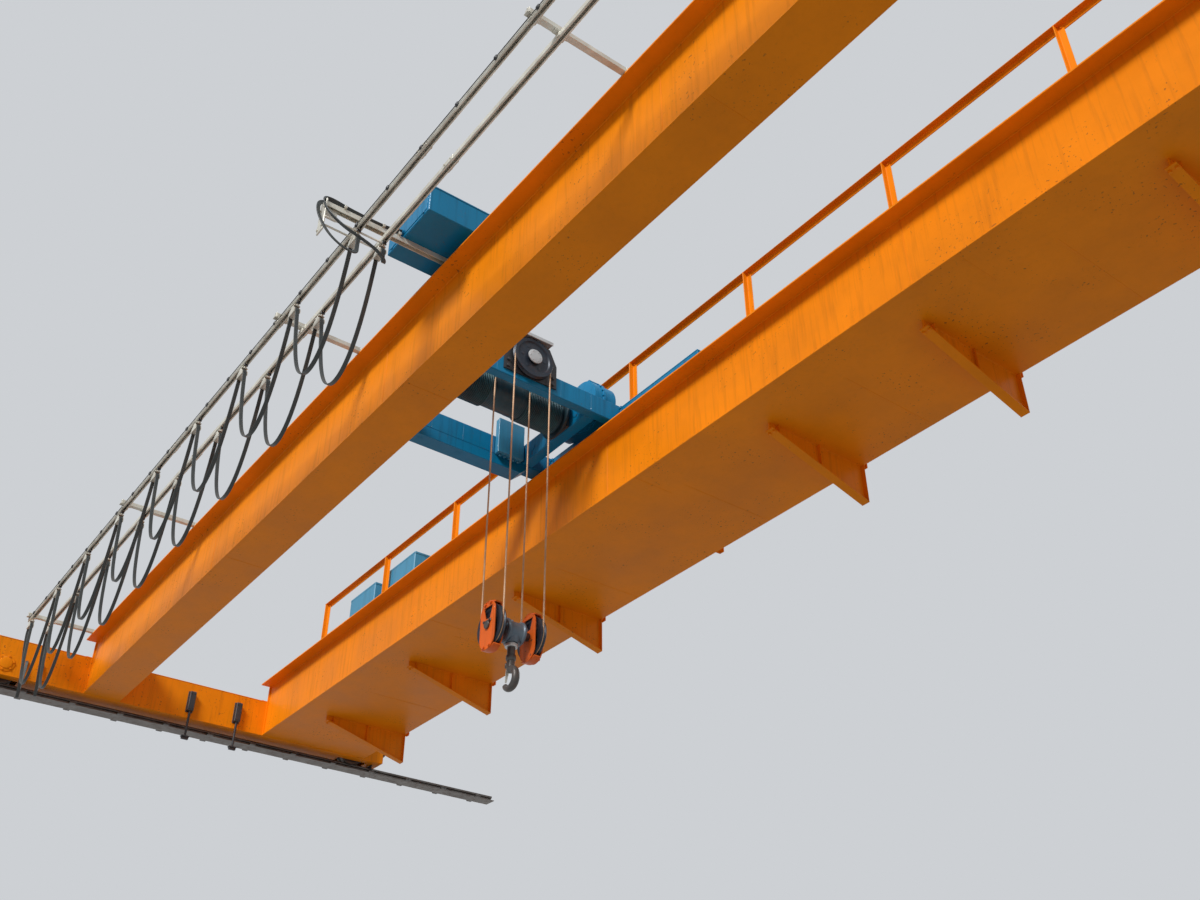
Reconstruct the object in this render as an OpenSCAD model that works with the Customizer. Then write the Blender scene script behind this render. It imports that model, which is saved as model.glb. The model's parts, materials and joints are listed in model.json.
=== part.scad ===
// Double girder overhead travelling crane with a rope hoist trolley, side walkway and festoon.
// X runs along the girders from the far runway rail to the near one, Y to the walkway side, Z up.
// The origin is the centre of the far rail's underside.

/* [Bridge] */
// Distance between the centres of the two runway rails
span = 13500; // [11500:100:16000]
// Distance between the centres of the two girders, and between the trolley rails
gauge = 2000; // [1900:10:2300]
// Height of the girder webs
web_h = 560; // [480:10:760]
// Width of a girder over its two webs
box_w = 350; // [300:10:370]
// Thickness of the girder webs
web_t = 8; // [6:1:14]
// Thickness of the girder flanges
flange_t = 12; // [10:1:20]
// Width of the bottom flange of a girder
bottom_flange_w = 380; // [372:2:440]
// Width of the top flange of a girder
top_flange_w = 590; // [500:10:640]
// Thickness of the plate that closes each girder end
end_plate_t = 20; // [12:1:30]
// Width of the square bar that the trolley runs on
bar_w = 50; // [40:5:60]
// Height of the bar that the trolley runs on
bar_h = 40; // [30:5:60]

/* [End trucks] */
// Width of an end truck
truck_w = 360; // [300:10:420]
// Height of an end truck
truck_h = 400; // [370:10:480]
// Thickness of the plates of an end truck
truck_plate = 12; // [8:1:20]
// Distance between the two wheels of an end truck
wheel_base = 4000; // [3800:50:4200]
// Length of an end truck beyond the axle of each wheel
truck_overhang = 350; // [320:10:600]
// Diameter of a bridge wheel on its tread
bridge_wheel_d = 315; // [280:5:330]
// Depth of the wheel flange beside the rail head
wheel_flange = 17; // [12:1:22]
// Diameter of a bridge wheel's axle
bridge_axle_d = 80; // [60:5:100]
// Height of the truck's underside over the rail
wheel_drop = 30; // [25:1:45]
// Diameter of the rubber buffers
buffer_d = 125; // [100:5:160]
// Length of the rubber buffers
buffer_l = 90; // [60:5:140]

/* [Runway] */
// Length of each runway rail
runway_len = 8000; // [7600:100:12000]
// Height of a runway rail
runway_h = 75; // [65:1:105]
// Width of a runway rail's foot
runway_foot = 175; // [150:5:200]
// Width of a runway rail's head
runway_head = 65; // [55:1:75]

/* [Walkway] */
// Width of the walkway deck
deck_w = 895; // [700:5:1000]
// Thickness of the deck plate
deck_t = 8; // [6:1:10]
// Depth of a bracket at the deck's outer edge
bracket_deep = 325; // [120:5:360]
// Depth of a bracket at the girder
bracket_thin = 60; // [24:1:90]
// Width of a bracket's bottom plate
bracket_w = 70; // [50:5:100]
// Height of the toe board over the deck
toe_h = 100; // [80:10:150]
// Thickness of the toe board
toe_t = 6; // [4:1:10]
// Height of the handrails over what they stand on
rail_h = 1080; // [900:10:1200]
// Leg of the steel angle that the handrails are made of
angle_w = 50; // [40:5:60]
// Thickness of that steel angle
angle_t = 6; // [5:1:8]
// Distance from the span's start to the first post on the girder
post_first = 500; // [400:10:700]
// Distance between the posts on the girder
post_pitch = 1475; // [1200:5:1700]
// Distance from the span's start to the first control cabinet
cabinet_x = 1015; // [700:5:1200]
// Height of the control cabinets
cabinet_h = 1500; // [1200:10:1800]
// Depth of the control cabinets, across the walkway
cabinet_d = 350; // [250:10:420]
// Width of each control cabinet, along the walkway
cabinet_w = 600; // [400:10:800]

/* [Festoon] */
// Distance of the inner festoon track from the outer web of its girder
track_out = 555; // [500:5:640]
// Distance between the two festoon tracks
track_gap = 185; // [150:5:240]
// Width and height of a festoon track
track_s = 40; // [36:1:48]
// Wall of a festoon track
track_t = 3; // [2:0.5:4]
// Width of the slot under a festoon track
track_slot = 18; // [16:1:20]
// Width and height of the arms that carry the tracks
arm_s = 40; // [30:5:50]
// Distance from the span's start to the second arm
arm_first = 3160; // [2600:10:3400]
// Distance between the arms
arm_pitch = 3165; // [2600:5:3400]
// Place of the fixed cable clamp at the far end
clamp_x = 430; // [400:10:600]
// Distance between two cable carriers as drawn
loop_pitch = 880; // [700:5:1000]
// Radius of the saddles that the cables hang over
saddle_r = 45; // [35:1:50]
// Width of the flat cable
cable_w = 30; // [20:1:34]
// Thickness of the flat cable
cable_t = 8; // [6:1:10]

/* [Trolley] */
// Place of the trolley's centre as drawn
trolley_x = 6560; // [6000:10:7400]
// Length of the trolley's side frames
frame_len = 2100; // [2000:10:2400]
// Width of a side frame
frame_w = 180; // [150:5:200]
// Height of a side frame
frame_h = 220; // [180:5:260]
// Thickness of the side frames' plates
frame_t = 10; // [8:1:14]
// Diameter of a trolley wheel on its tread
trolley_wheel_d = 200; // [180:5:220]
// Distance between the axles of the trolley
trolley_base = 1600; // [1500:10:1700]
// Diameter of a trolley wheel's axle
trolley_axle_d = 50; // [40:2:60]
// Width of the cross beams
beam_w = 150; // [120:5:180]
// Height of the cross beams
beam_h = 180; // [150:5:200]
// Depth of the far cross beam's belly between the girders
belly_h = 90; // [60:5:95]
// Width of the box with the hoist's switchgear, along the girder
box_len = 560; // [400:10:600]
// Reach of that box across the girder
box_reach = 500; // [400:10:540]
// Height of that box
box_h = 230; // [180:10:300]

/* [Hoist] */
// Diameter of the hoist rope
rope_d = 14; // [10:1:18]
// Radius of the rope's centre line on the drum
drum_r = 155; // [140:1:160]
// Length of the drum between its flanges
drum_len = 1080; // [900:10:1120]
// Radius of the drum's flanges
drum_flange_r = 190; // [180:1:200]
// Height of the drum's axis over the girder's top
drum_up = 230; // [220:5:260]
// Radius of the rope's centre line on the sheaves of the hook block
sheave_r = 140; // [120:1:150]
// Half the distance between the two sheaves of the hook block
sheave_y = 165; // [150:1:180]
// Width of a sheave
sheave_w = 44; // [40:1:48]
// Height of the upper sheave's axis over the girder's top
upper_up = 330; // [300:5:380]
// Radius of the hoist motor
motor_r = 120; // [90:5:125]
// Length of the hoist motor
motor_len = 600; // [400:10:640]
// Height of the hook block's axle, under the runway rail's foot
block_down = 1290; // [1100:10:1800]
// Diameter of the hook block's axle
block_axle_d = 60; // [50:2:70]
// Width of the block's middle housing, between the two sheaves
block_w = 150; // [120:5:230]
// Radius of the hook's bowl on its centre line
hook_r = 66; // [60:1:74]
// Radius of the hook's round section
hook_s = 28; // [22:1:30]

/* [Hidden] */
$fn = 48;

// Colours
orange_paint = "darkorange";
blue_paint = "steelblue";
zinc = "silver";
steel = "dimgray";
black_paint = "black";
guard_paint = "orangered";

// Small gaps between pieces that turn or rest on each other
fit = 0.3;
play = 6;

// Length of an end truck along the runway
truck_len = wheel_base + 2*truck_overhang;

// Heights of the bridge
truck_z0 = runway_h + wheel_drop;
truck_z1 = truck_z0 + truck_h;
web_z0 = truck_z0 + flange_t;
web_z1 = web_z0 + web_h;
girder_z1 = web_z1 + flange_t;
bar_z1 = girder_z1 + bar_h;

// Places along the span
truck_face = truck_w/2;
girder_x0 = truck_face + end_plate_t;
girder_x1 = span - girder_x0;
stop_x = truck_face + 170;

// Places across the span
side_y = gauge/2;
deck_y0 = side_y + bottom_flange_w/2;
deck_y1 = deck_y0 + deck_w;
deck_z1 = truck_z0 + deck_t;
toe_y1 = deck_y1 + toe_t;

// Handrail posts over the walkway as shares of the span, the fourth without a bracket under it
post_shares = [0.0852, 0.2178, 0.3563, 0.478, 0.5978, 0.7026, 0.83, 0.9444];
bare_post = 3;

// Bridge wheels and the drives beside them
drive_case_x = 130;
toe_x0 = truck_face + drive_case_x + 10;
wheel_tread_w = runway_head + 2*play;
wheel_rim_w = 20;
wheel_z = runway_h + fit + bridge_wheel_d/2;
axle_out = 18;

// Festoon
track_y = [-side_y - box_w/2 - track_out, -side_y - box_w/2 - track_out - track_gap];
track_z1 = girder_z1;
track_z0 = track_z1 - track_s;
track_x0 = truck_face + 160;
track_x1 = span - truck_face - 220;
arm_y0 = -side_y - bar_w/2 - 60;
arm_y1 = track_y[1] - track_s;
saddle_z = track_z0 - 90;
loops = 8;
tow_x = clamp_x + loops*loop_pitch;

cable_r = (saddle_r + cable_t/2 + fit)/cos(22.5);
plate_z = saddle_z + cable_r + cable_t/2 + 1;

// One hanging loop of cable, from one saddle's centre: distance along the track and depth
loop_points = [[130, -320], [270, -650], [440, -760]];

// Trolley
frame_z0 = bar_z1 + 25;
frame_z1 = frame_z0 + frame_h;
frame_in = side_y - frame_w/2;
trolley_axle_z = bar_z1 + fit + trolley_wheel_d/2;
beam_z0 = frame_z1 - beam_h - 4;
beam_z1 = beam_z0 + beam_h;
far_beam_x = -950;
long_w = 100;
beam_t = 8;
long_y = drum_len/2 + 100;
drum_x = -sheave_r - drum_r;
drum_z = girder_z1 + drum_up;
drum_shaft_r = 40;
upper_z = girder_z1 + upper_up;
plate_x_t = 12;
upper_plate_x = sheave_r - sheave_w/2 - play - plate_x_t;
near_beam_x0 = upper_plate_x - 80;
tow_local = tow_x - trolley_x;
tow_arm_s = 40;
tow_z0 = girder_z1 + arm_s + 21;
tow_y1 = track_y[1] - 235;
fork_z0 = plate_z + 6 + play;
fork_z1 = track_z0 - 8;
stem_l = 50;
prong = 12;
leg_t = 10;
leg_z0 = 520;
box_x0 = 700;
gear_x = -180;
gear_up = 370;
gear_z = girder_z1 + gear_up;
gear_r = 220;
motor_x = -560;
motor_up = 412;
motor_z = girder_z1 + motor_up;

// Hook block
block_z = -block_down;
guard_t = 6;
guard_gap = sheave_w/2 + play;
groove = 15;
keeper_z = upper_z + sheave_y + groove + 6;
sheave_out = sheave_r + groove;
guard_r = sheave_out + 26;
strap_w = 180;
body_r = 88;
nut_h = 26;
shank_r = 28;
hook_z = block_z - 340;
tip_angle = 40;

// A box between two corners
module slab(a, b) {
  translate(a) cube(b - a);
}
// A closed box of plate between two corners
module hollow_slab(a, b, t) {
  difference() {
    slab(a, b);
    slab(a + [t, t, t], b - [t, t, t]);
  }
}

// A round bar along X, Y or Z between two places on that axis
module bar_x(r, x0, x1, y, z) {
  translate([x0, y, z]) rotate([0, 90, 0]) cylinder(r = r, h = x1 - x0);
}
module bar_y(r, y0, y1, x, z) {
  translate([x, y1, z]) rotate([90, 0, 0]) cylinder(r = r, h = y1 - y0);
}
module bar_z(r, z0, z1, x, y) {
  translate([x, y, z0]) cylinder(r = r, h = z1 - z0);
}

// A profile drawn in Y and Z, carried along X
module along_x(x0, x1) {
  translate([x0, 0, 0]) rotate([90, 0, 90]) linear_extrude(x1 - x0) children();
}
// A profile drawn in X and Z, carried along Y
module along_y(y0, y1) {
  translate([0, y1, 0]) rotate([90, 0, 0]) linear_extrude(y1 - y0) children();
}

// Both girders, both ends of the span, both sides of a centre line
module both_girders() {
  for (s = [-1, 1]) translate([0, s*side_y, 0]) children();
}
module both_ends() {
  children();
  translate([span, 0, 0]) mirror([1, 0, 0]) children();
}
module both_sides() {
  children();
  mirror([0, 1, 0]) children();
}
module on_trolley() {
  translate([trolley_x, 0, 0]) children();
}

// Runway
module runway_profile() {
  foot_t = 14;
  head_t = 24;
  rail_web = 24;
  half_foot = runway_foot/2;
  half_head = runway_head/2;
  right = [[half_foot, 0], [half_foot, foot_t/2], [rail_web/2 + 8, foot_t], [rail_web/2, foot_t + 10],
    [rail_web/2, runway_h - head_t - 6], [half_head, runway_h - head_t], [half_head, runway_h - 4],
    [half_head - 4, runway_h]];
  left = [for (i = [len(right) - 1:-1:0]) [-right[i][0], right[i][1]]];
  polygon(concat(right, left));
}
module runway_rail(x) {
  color(steel) translate([x, 0, 0]) along_y(-runway_len/2, runway_len/2) runway_profile();
}
module far_runway_rail() { runway_rail(0); }
module near_runway_rail() { runway_rail(span); }

// Girders: two webs between a bottom and a wider top flange
module girder_flanges(s) {
  color(orange_paint) translate([0, s*side_y, 0]) {
    slab([girder_x0, -bottom_flange_w/2, truck_z0], [girder_x1, bottom_flange_w/2, web_z0]);
    slab([girder_x0, -top_flange_w/2, web_z1], [girder_x1, top_flange_w/2, girder_z1]);
  }
}
module girder_webs(s) {
  color(orange_paint) translate([0, s*side_y, 0]) both_sides()
    slab([girder_x0, box_w/2 - web_t, web_z0], [girder_x1, box_w/2, web_z1]);
}
module left_girder_flanges() { girder_flanges(-1); }
module left_girder_webs() { girder_webs(-1); }
module right_girder_flanges() { girder_flanges(1); }
module right_girder_webs() { girder_webs(1); }
module girder_end_plates() {
  color(orange_paint) both_ends() both_girders()
    slab([truck_face, -bottom_flange_w/2, truck_z0], [girder_x0, bottom_flange_w/2, girder_z1]);
}
module trolley_rails() {
  color(steel) both_girders() slab([stop_x, -bar_w/2, girder_z1], [span - stop_x, bar_w/2, bar_z1]);
}
module trolley_end_stops() {
  stop_w = 120;
  stop_t = 60;
  stop_h = 230;
  pad_l = 50;
  pad_r = 45;
  color(orange_paint) both_ends() both_girders() {
    slab([stop_x - stop_t, -stop_w/2, girder_z1], [stop_x, stop_w/2, girder_z1 + stop_h]);
    bar_x(pad_r, stop_x, stop_x + pad_l, 0, frame_z0 + frame_h/2);
  }
}

// End trucks: a plate box with a slot under each wheel and a bore for each axle
module end_truck() {
  slot_x = wheel_tread_w/2 + wheel_rim_w + 10;
  slot_y = bridge_wheel_d/2 + wheel_flange + 10;
  color(orange_paint) difference() {
    slab([-truck_face, -truck_len/2, truck_z0], [truck_face, truck_len/2, truck_z1]);
    slab([-truck_face + truck_plate, -truck_len/2 + truck_plate, truck_z0 + truck_plate],
      [truck_face - truck_plate, truck_len/2 - truck_plate, truck_z1 - truck_plate]);
    for (s = [-1, 1]) translate([0, s*wheel_base/2, 0]) {
      slab([-slot_x, -slot_y, truck_z0 - 1], [slot_x, slot_y, truck_z0 + truck_plate + 1]);
      bar_x(bridge_axle_d/2 + fit, -truck_w, truck_w, 0, wheel_z);
    }
  }
}
module far_end_truck() { end_truck(); }
module near_end_truck() { translate([span, 0, 0]) end_truck(); }

// A flanged wheel with its axle, as a profile turned about X
module flanged_wheel(tread_r, rim_r, tread_w, rim_w, axle_r, axle_half) {
  half = tread_w/2;
  rotate([0, 90, 0]) rotate_extrude($fn = 72) polygon([[0, -axle_half], [axle_r, -axle_half],
    [axle_r, -half - rim_w], [rim_r, -half - rim_w], [rim_r, -half - 4], [tread_r, -half],
    [tread_r, half], [rim_r, half + 4], [rim_r, half + rim_w], [axle_r, half + rim_w],
    [axle_r, axle_half], [0, axle_half]]);
}
module bridge_wheels() {
  color(steel) both_ends() for (s = [-1, 1]) translate([0, s*wheel_base/2, wheel_z])
    flanged_wheel(bridge_wheel_d/2, bridge_wheel_d/2 + wheel_flange, wheel_tread_w, wheel_rim_w,
      bridge_axle_d/2, truck_face + axle_out);
}
module truck_buffers() {
  plate = 160;
  plate_t = 15;
  buffer_z = (truck_z0 + truck_z1)/2;
  color(black_paint) both_ends() both_sides() {
    slab([-plate/2, truck_len/2, buffer_z - plate/2], [plate/2, truck_len/2 + plate_t, buffer_z + plate/2]);
    bar_y(buffer_d/2, truck_len/2 + plate_t, truck_len/2 + plate_t + buffer_l, 0, buffer_z);
  }
}
module travel_drives() {
  case_y = 110;
  case_up = 170;
  case_down = 105;
  drive_r = 78;
  drive_l = 290;
  drive_out = 79;
  y = wheel_base/2;
  color(blue_paint) both_ends() difference() {
    union() {
      slab([truck_face, y - case_y, wheel_z - case_down],
           [truck_face + drive_case_x, y + case_y, wheel_z + case_up]);
      bar_z(drive_r, wheel_z + case_up, wheel_z + case_up + drive_l, truck_face + drive_out, y);
    }
    bar_x(bridge_axle_d/2 + fit, truck_face - 1, truck_face + axle_out + fit, y, wheel_z);
  }
}
module rail_sweeps() {
  sweep_y = truck_len/2 - 90;
  sweep_t = 10;
  half_in = runway_head/2 + 7;
  half_out = half_in + 26;
  color(black_paint) both_ends() both_sides() along_y(sweep_y, sweep_y + sweep_t)
    polygon([[-half_out, truck_z0], [half_out, truck_z0], [half_out, runway_h - 20], [half_in, runway_h - 20],
      [half_in, runway_h + 8], [-half_in, runway_h + 8],
      [-half_in, runway_h - 20], [-half_out, runway_h - 20]]);
}
module current_collectors() {
  hang_z = -150;
  places = [-60, 480];
  color(black_paint) for (y = places) translate([truck_face, y, 0]) {
    slab([0, -40, truck_z0 + 60], [60, 40, truck_z0 + 300]);
    slab([20, -14, hang_z + 40], [48, 14, truck_z0 + 60]);
    slab([10, -45, hang_z], [58, 45, hang_z + 40]);
  }
}

// Walkway
module walkway_deck() {
  color(orange_paint) slab([girder_x0, deck_y0, truck_z0], [girder_x1, deck_y1, deck_z1]);
}
module walkway_bracket() {
  plate = 8;
  y0 = deck_y0 - 60;
  deep = truck_z0 - bracket_deep;
  thin = truck_z0 - bracket_thin;
  along_x(-plate/2, plate/2)
    polygon([[y0, truck_z0], [toe_y1, truck_z0], [toe_y1, deep], [y0, thin]]);
  along_x(-bracket_w/2, bracket_w/2)
    polygon([[y0, thin + plate], [toe_y1, deep + plate], [toe_y1, deep], [y0, thin]]);
}
module walkway_brackets() {
  color(orange_paint) for (i = [0:len(post_shares) - 1]) if (i != bare_post)
    translate([post_shares[i]*span, 0, 0]) walkway_bracket();
}
module walkway_toe_board() {
  color(orange_paint) slab([toe_x0, deck_y1, truck_z0], [span - toe_x0, toe_y1, deck_z1 + toe_h]);
}

// An angle bar standing up between two heights, its outer face at y
module angle_post(x, y, z0, z1) {
  translate([x - angle_w/2, y - angle_w, 0]) {
    slab([0, angle_w - angle_t, z0], [angle_w, angle_w, z1]);
    slab([0, 0, z0], [angle_t, angle_w, z1]);
  }
}
// An angle bar lying along X over posts whose outer face is at y
module angle_rail(x0, x1, y, z1) {
  slab([x0, y + fit + angle_t - angle_w, z1 - angle_t], [x1, y + fit + angle_t, z1]);
  slab([x0, y + fit, z1 - angle_w], [x1, y + fit + angle_t, z1]);
}
module walkway_handrail() {
  places = post_shares*span;
  y = toe_y1 + angle_w;
  top = deck_z1 + rail_h;
  mid_h = 45;
  mid_z = deck_z1 + rail_h/2;
  x0 = places[0] - angle_w;
  x1 = places[len(places) - 1] + angle_w;
  color(orange_paint) {
    for (x = places) angle_post(x, y, truck_z0, top - angle_t - fit);
    angle_rail(x0, x1, y, top);
    slab([x0, y + fit, mid_z - mid_h], [x1, y + fit + angle_t, mid_z]);
  }
}
module girder_handrail() {
  y = side_y + top_flange_w/2 - 15;
  top = girder_z1 + rail_h;
  last = floor((girder_x1 - post_first - 300)/post_pitch);
  color(orange_paint) {
    for (i = [0:last]) angle_post(post_first + i*post_pitch, y, girder_z1, top - angle_t - fit);
    angle_rail(post_first - angle_w, post_first + last*post_pitch + angle_w, y, top);
  }
}
module control_cabinets() {
  leg_h = 60;
  gap = 300;
  sheet_t = 3;
  y0 = side_y + top_flange_w/2 + 12;
  color(blue_paint) for (i = [0, 1]) translate([cabinet_x + i*(cabinet_w + gap), y0, 0]) {
    hollow_slab([0, 0, deck_z1 + leg_h], [cabinet_w, cabinet_d, deck_z1 + cabinet_h], sheet_t);
    slab([20, 20, deck_z1], [cabinet_w - 20, cabinet_d - 20, deck_z1 + leg_h]);
  }
}

// Festoon: arms on the left girder's top flange carry two slotted tracks
module festoon_arms() {
  last_gap = 900;
  arm_x = concat([track_x0 + 40], [for (x = [arm_first:arm_pitch:track_x1 - last_gap]) x],
                 [track_x1 - 60]);
  color(zinc) for (x = arm_x)
    slab([x - arm_s/2, arm_y1, girder_z1], [x + arm_s/2, arm_y0, girder_z1 + arm_s]);
}
module festoon_tracks() {
  color(zinc) for (y = track_y) translate([0, y, 0]) difference() {
    slab([track_x0, -track_s/2, track_z0], [track_x1, track_s/2, track_z1]);
    slab([track_x0 - 1, -track_s/2 + track_t, track_z0 + track_t],
         [track_x1 + 1, track_s/2 - track_t, track_z1 - track_t]);
    slab([track_x0 - 1, -track_slot/2, track_z0 - 1], [track_x1 + 1, track_slot/2, track_z0 + track_t + 1]);
  }
}
// A carrier hangs in the slot: roller block, stem, clamp plate, straps and a round saddle
module cable_hanger(roller_top) {
  strap_in = cable_w/2 + 2;
  strap_out = strap_in + 6;
  roller_gap = 5;
  roller_w = track_s/2 - track_t - roller_gap;
  roller_z = track_z0 + track_t + fit;
  slab([-50, -roller_w, roller_z], [50, roller_w, track_z1 - track_t - roller_top]);
  slab([-stem_l/2, -3, plate_z], [stem_l/2, 3, roller_z]);
  slab([-32, -strap_out, plate_z], [32, strap_out, plate_z + 6]);
  for (s = [-1, 1])
    slab([-15, s > 0 ? strap_in : -strap_out, saddle_z],
         [15, s > 0 ? strap_out : -strap_in, plate_z + 6]);
  difference() {
    bar_y(saddle_r, -strap_out, strap_out, 0, saddle_z);
    slab([-saddle_r - 1, -strap_out - 1, saddle_z - saddle_r - 1],
         [saddle_r + 1, strap_out + 1, saddle_z - 8]);
  }
}
module cable_carrier(i) {
  color(steel) for (y = track_y) translate([clamp_x + i*loop_pitch, y, 0]) cable_hanger(5);
}
module cable_carrier_1() { cable_carrier(1); }
module cable_carrier_2() { cable_carrier(2); }
module cable_carrier_3() { cable_carrier(3); }
module cable_carrier_4() { cable_carrier(4); }
module cable_carrier_5() { cable_carrier(5); }
module cable_carrier_6() { cable_carrier(6); }
module cable_carrier_7() { cable_carrier(7); }
module cable_tow_carrier() { cable_carrier(loops); }
module festoon_end_clamp() {
  color(steel) for (y = track_y) translate([clamp_x, y, 0]) cable_hanger(0);
}

// Flat cable: rings of eight points carried along one loop and repeated
function over_saddle() = [for (a = [90:-45:0]) [cable_r*cos(a), cable_r*sin(a)]];
function loop_start() = concat(over_saddle(), loop_points);
function loop_route() = let (p = loop_start())
  concat(p, [for (i = [len(p) - 2:-1:0]) [loop_pitch - p[i][0], p[i][1]]]);
function run(p, i) = p[min(i + 1, len(p) - 1)] - p[max(i - 1, 0)];
function ring(p, i) = let (d = run(p, i)/norm(run(p, i)), n = [-d[1], d[0]])
  [for (k = [0:7]) let (a = 22.5 + 45*k, u = cos(a)*cable_w/1.85, v = sin(a)*cable_t/1.85)
    [p[i][0] + n[0]*v, u, p[i][1] + n[1]*v]];
module cable_loop() {
  p = loop_route();
  n = len(p);
  rings = [for (i = [0:n - 1]) each ring(p, i)];
  walls = [for (i = [0:n - 2]) for (k = [0:7]) [8*i + k, 8*i + (k + 1)%8, 8*i + 8 + (k + 1)%8, 8*i + 8 + k]];
  ends = [[for (k = [7:-1:0]) k], [for (k = [0:7]) 8*(n - 1) + k]];
  polyhedron(rings, concat(walls, ends));
}
module cable_run(y) {
  color(black_paint) for (i = [0:loops - 1]) translate([clamp_x + i*loop_pitch, y, saddle_z]) cable_loop();
}
module power_cable() { cable_run(track_y[0]); }
module control_cable() { cable_run(track_y[1]); }

// Trolley frame
module trolley_side_frames() {
  color(blue_paint) on_trolley() both_girders() difference() {
    slab([-frame_len/2, -frame_w/2, frame_z0], [frame_len/2, frame_w/2, frame_z1]);
    slab([-frame_len/2 + frame_t, -frame_w/2 + frame_t, frame_z0 - 1],
      [frame_len/2 - frame_t, frame_w/2 - frame_t, frame_z1 - frame_t]);
    for (s = [-1, 1]) bar_y(trolley_axle_d/2 + fit, -frame_w, frame_w, s*trolley_base/2, trolley_axle_z);
  }
}
module trolley_cross_beams() {
  belly_y = side_y - top_flange_w/2 - 25;
  color(blue_paint) on_trolley() {
    hollow_slab([near_beam_x0, -frame_in, beam_z0], [upper_plate_x, frame_in, beam_z1], beam_t);
    translate([far_beam_x, 0, beam_z0]) {
      hollow_slab([-beam_w/2, -frame_in, 0], [beam_w/2, frame_in, beam_h], beam_t);
      difference() {
        slab([-beam_w/2, -belly_y, -belly_h], [beam_w/2, belly_y, 0]);
        slab([beam_t - beam_w/2, beam_t - belly_y, beam_t - belly_h], [beam_w/2 - beam_t, belly_y - beam_t, 1]);
      }
    }
  }
}
module trolley_long_beams() {
  color(blue_paint) on_trolley() for (s = [-1, 1]) translate([0, s*long_y, 0])
    hollow_slab([far_beam_x + beam_w/2, -long_w/2, beam_z0],
                [near_beam_x0, long_w/2, beam_z1], beam_t);
}
module trolley_wheels() {
  tread_w = bar_w + 10;
  rim_w = 14;
  color(steel) on_trolley() both_girders() for (s = [-1, 1])
    translate([s*trolley_base/2, 0, trolley_axle_z]) rotate([0, 0, 90])
      flanged_wheel(trolley_wheel_d/2, trolley_wheel_d/2 + 15, tread_w, rim_w,
                    trolley_axle_d/2, frame_w/2 - fit);
}
module trolley_travel_motors() {
  case_l = 100;
  motor_out = 48;
  motor_long = 230;
  motor_lift = 20;
  case_half = 75;
  case_down = 65;
  case_up = 85;
  y0 = side_y + frame_w/2;
  color(blue_paint) on_trolley() both_sides() translate([-trolley_base/2, 0, 0]) {
    slab([-case_half, y0, trolley_axle_z - case_down], [case_half, y0 + case_l, trolley_axle_z + case_up]);
    bar_x(motor_out, case_half, case_half + motor_long, y0 + case_l/2, trolley_axle_z + motor_lift);
  }
}

// Hoist
module drum_bearings() {
  plate_t = long_y - long_w/2 - drum_len/2 - 2*play;
  color(steel) on_trolley() both_sides() difference() {
    slab([drum_x - 110, long_y - long_w/2 - plate_t, beam_z0],
         [drum_x + 110, long_y - long_w/2, drum_z + 110]);
    bar_y(drum_shaft_r + fit, 0, side_y, drum_x, drum_z);
  }
}
module rope_drum() {
  flange_w = 20;
  shaft_end = long_y - long_w/2 - 1;
  half = drum_len/2;
  barrel_r = drum_r - rope_d/2 - fit;
  barrel_in = barrel_r - 18;
  color(steel) on_trolley() translate([drum_x, 0, drum_z]) rotate([90, 0, 0]) rotate_extrude($fn = 96)
    polygon([[0, -shaft_end], [drum_shaft_r, -shaft_end], [drum_shaft_r, -half], [drum_flange_r, -half],
      [drum_flange_r, -half + flange_w], [barrel_r, -half + flange_w], [barrel_r, half - flange_w],
      [drum_flange_r, half - flange_w], [drum_flange_r, half], [drum_shaft_r, half],
      [drum_shaft_r, shaft_end], [0, shaft_end], [0, half - flange_w], [barrel_in, half - flange_w],
      [barrel_in, -half + flange_w], [0, -half + flange_w]]);
}
module hoist_gearbox() {
  y0 = long_y + long_w/2;
  lift = motor_z - gear_z;
  reach = gear_x - motor_x;
  small_r = motor_r + 15;
  tilt = atan2(lift, -reach);
  open = acos((gear_r - small_r)/norm([reach, lift]));
  big = [for (a = [tilt + open:15:tilt + 360 - open]) [gear_x + gear_r*cos(a), gear_z + gear_r*sin(a)]];
  small = [for (a = [tilt - open:15:tilt + open]) [motor_x + small_r*cos(a), motor_z + small_r*sin(a)]];
  color(blue_paint) on_trolley() along_y(y0, frame_in) polygon(concat(big, small));
}
module hoist_motor() {
  y1 = long_y + long_w/2;
  y0 = y1 - motor_len;
  color(blue_paint) on_trolley() {
    bar_y(motor_r, y0 + 110, y1, motor_x, motor_z);
    bar_y(motor_r - 12, y0, y0 + 110, motor_x, motor_z);
  }
}
module switchgear_box() {
  y0 = -side_y - frame_w/2;
  z0 = tow_z0 + tow_arm_s;
  color(blue_paint) on_trolley()
    hollow_slab([box_x0, y0 - box_reach, z0], [box_x0 + box_len, y0, z0 + box_h], 4);
}
module terminal_box() {
  x0 = far_beam_x + beam_w/2;
  color(blue_paint) on_trolley()
    hollow_slab([x0, long_y - long_w/2 - 280, beam_z0 - 6], [x0 + 60, long_y - long_w/2 - 20, beam_z1 + 160], 3);
}
module tow_arm() {
  y0 = -side_y - frame_w/2;
  half = stem_l/2 + play + prong;
  color(zinc) on_trolley() translate([tow_local, 0, 0]) {
    slab([-tow_arm_s/2, tow_y1, tow_z0], [tow_arm_s/2, y0, tow_z0 + tow_arm_s]);
    slab([-half, tow_y1 - leg_t, leg_z0], [half, tow_y1, tow_z0 + tow_arm_s]);
    for (x = [-half, half - prong]) slab([x, tow_y1, fork_z0], [x + prong, track_y[0] + 20, fork_z1]);
  }
}
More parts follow.
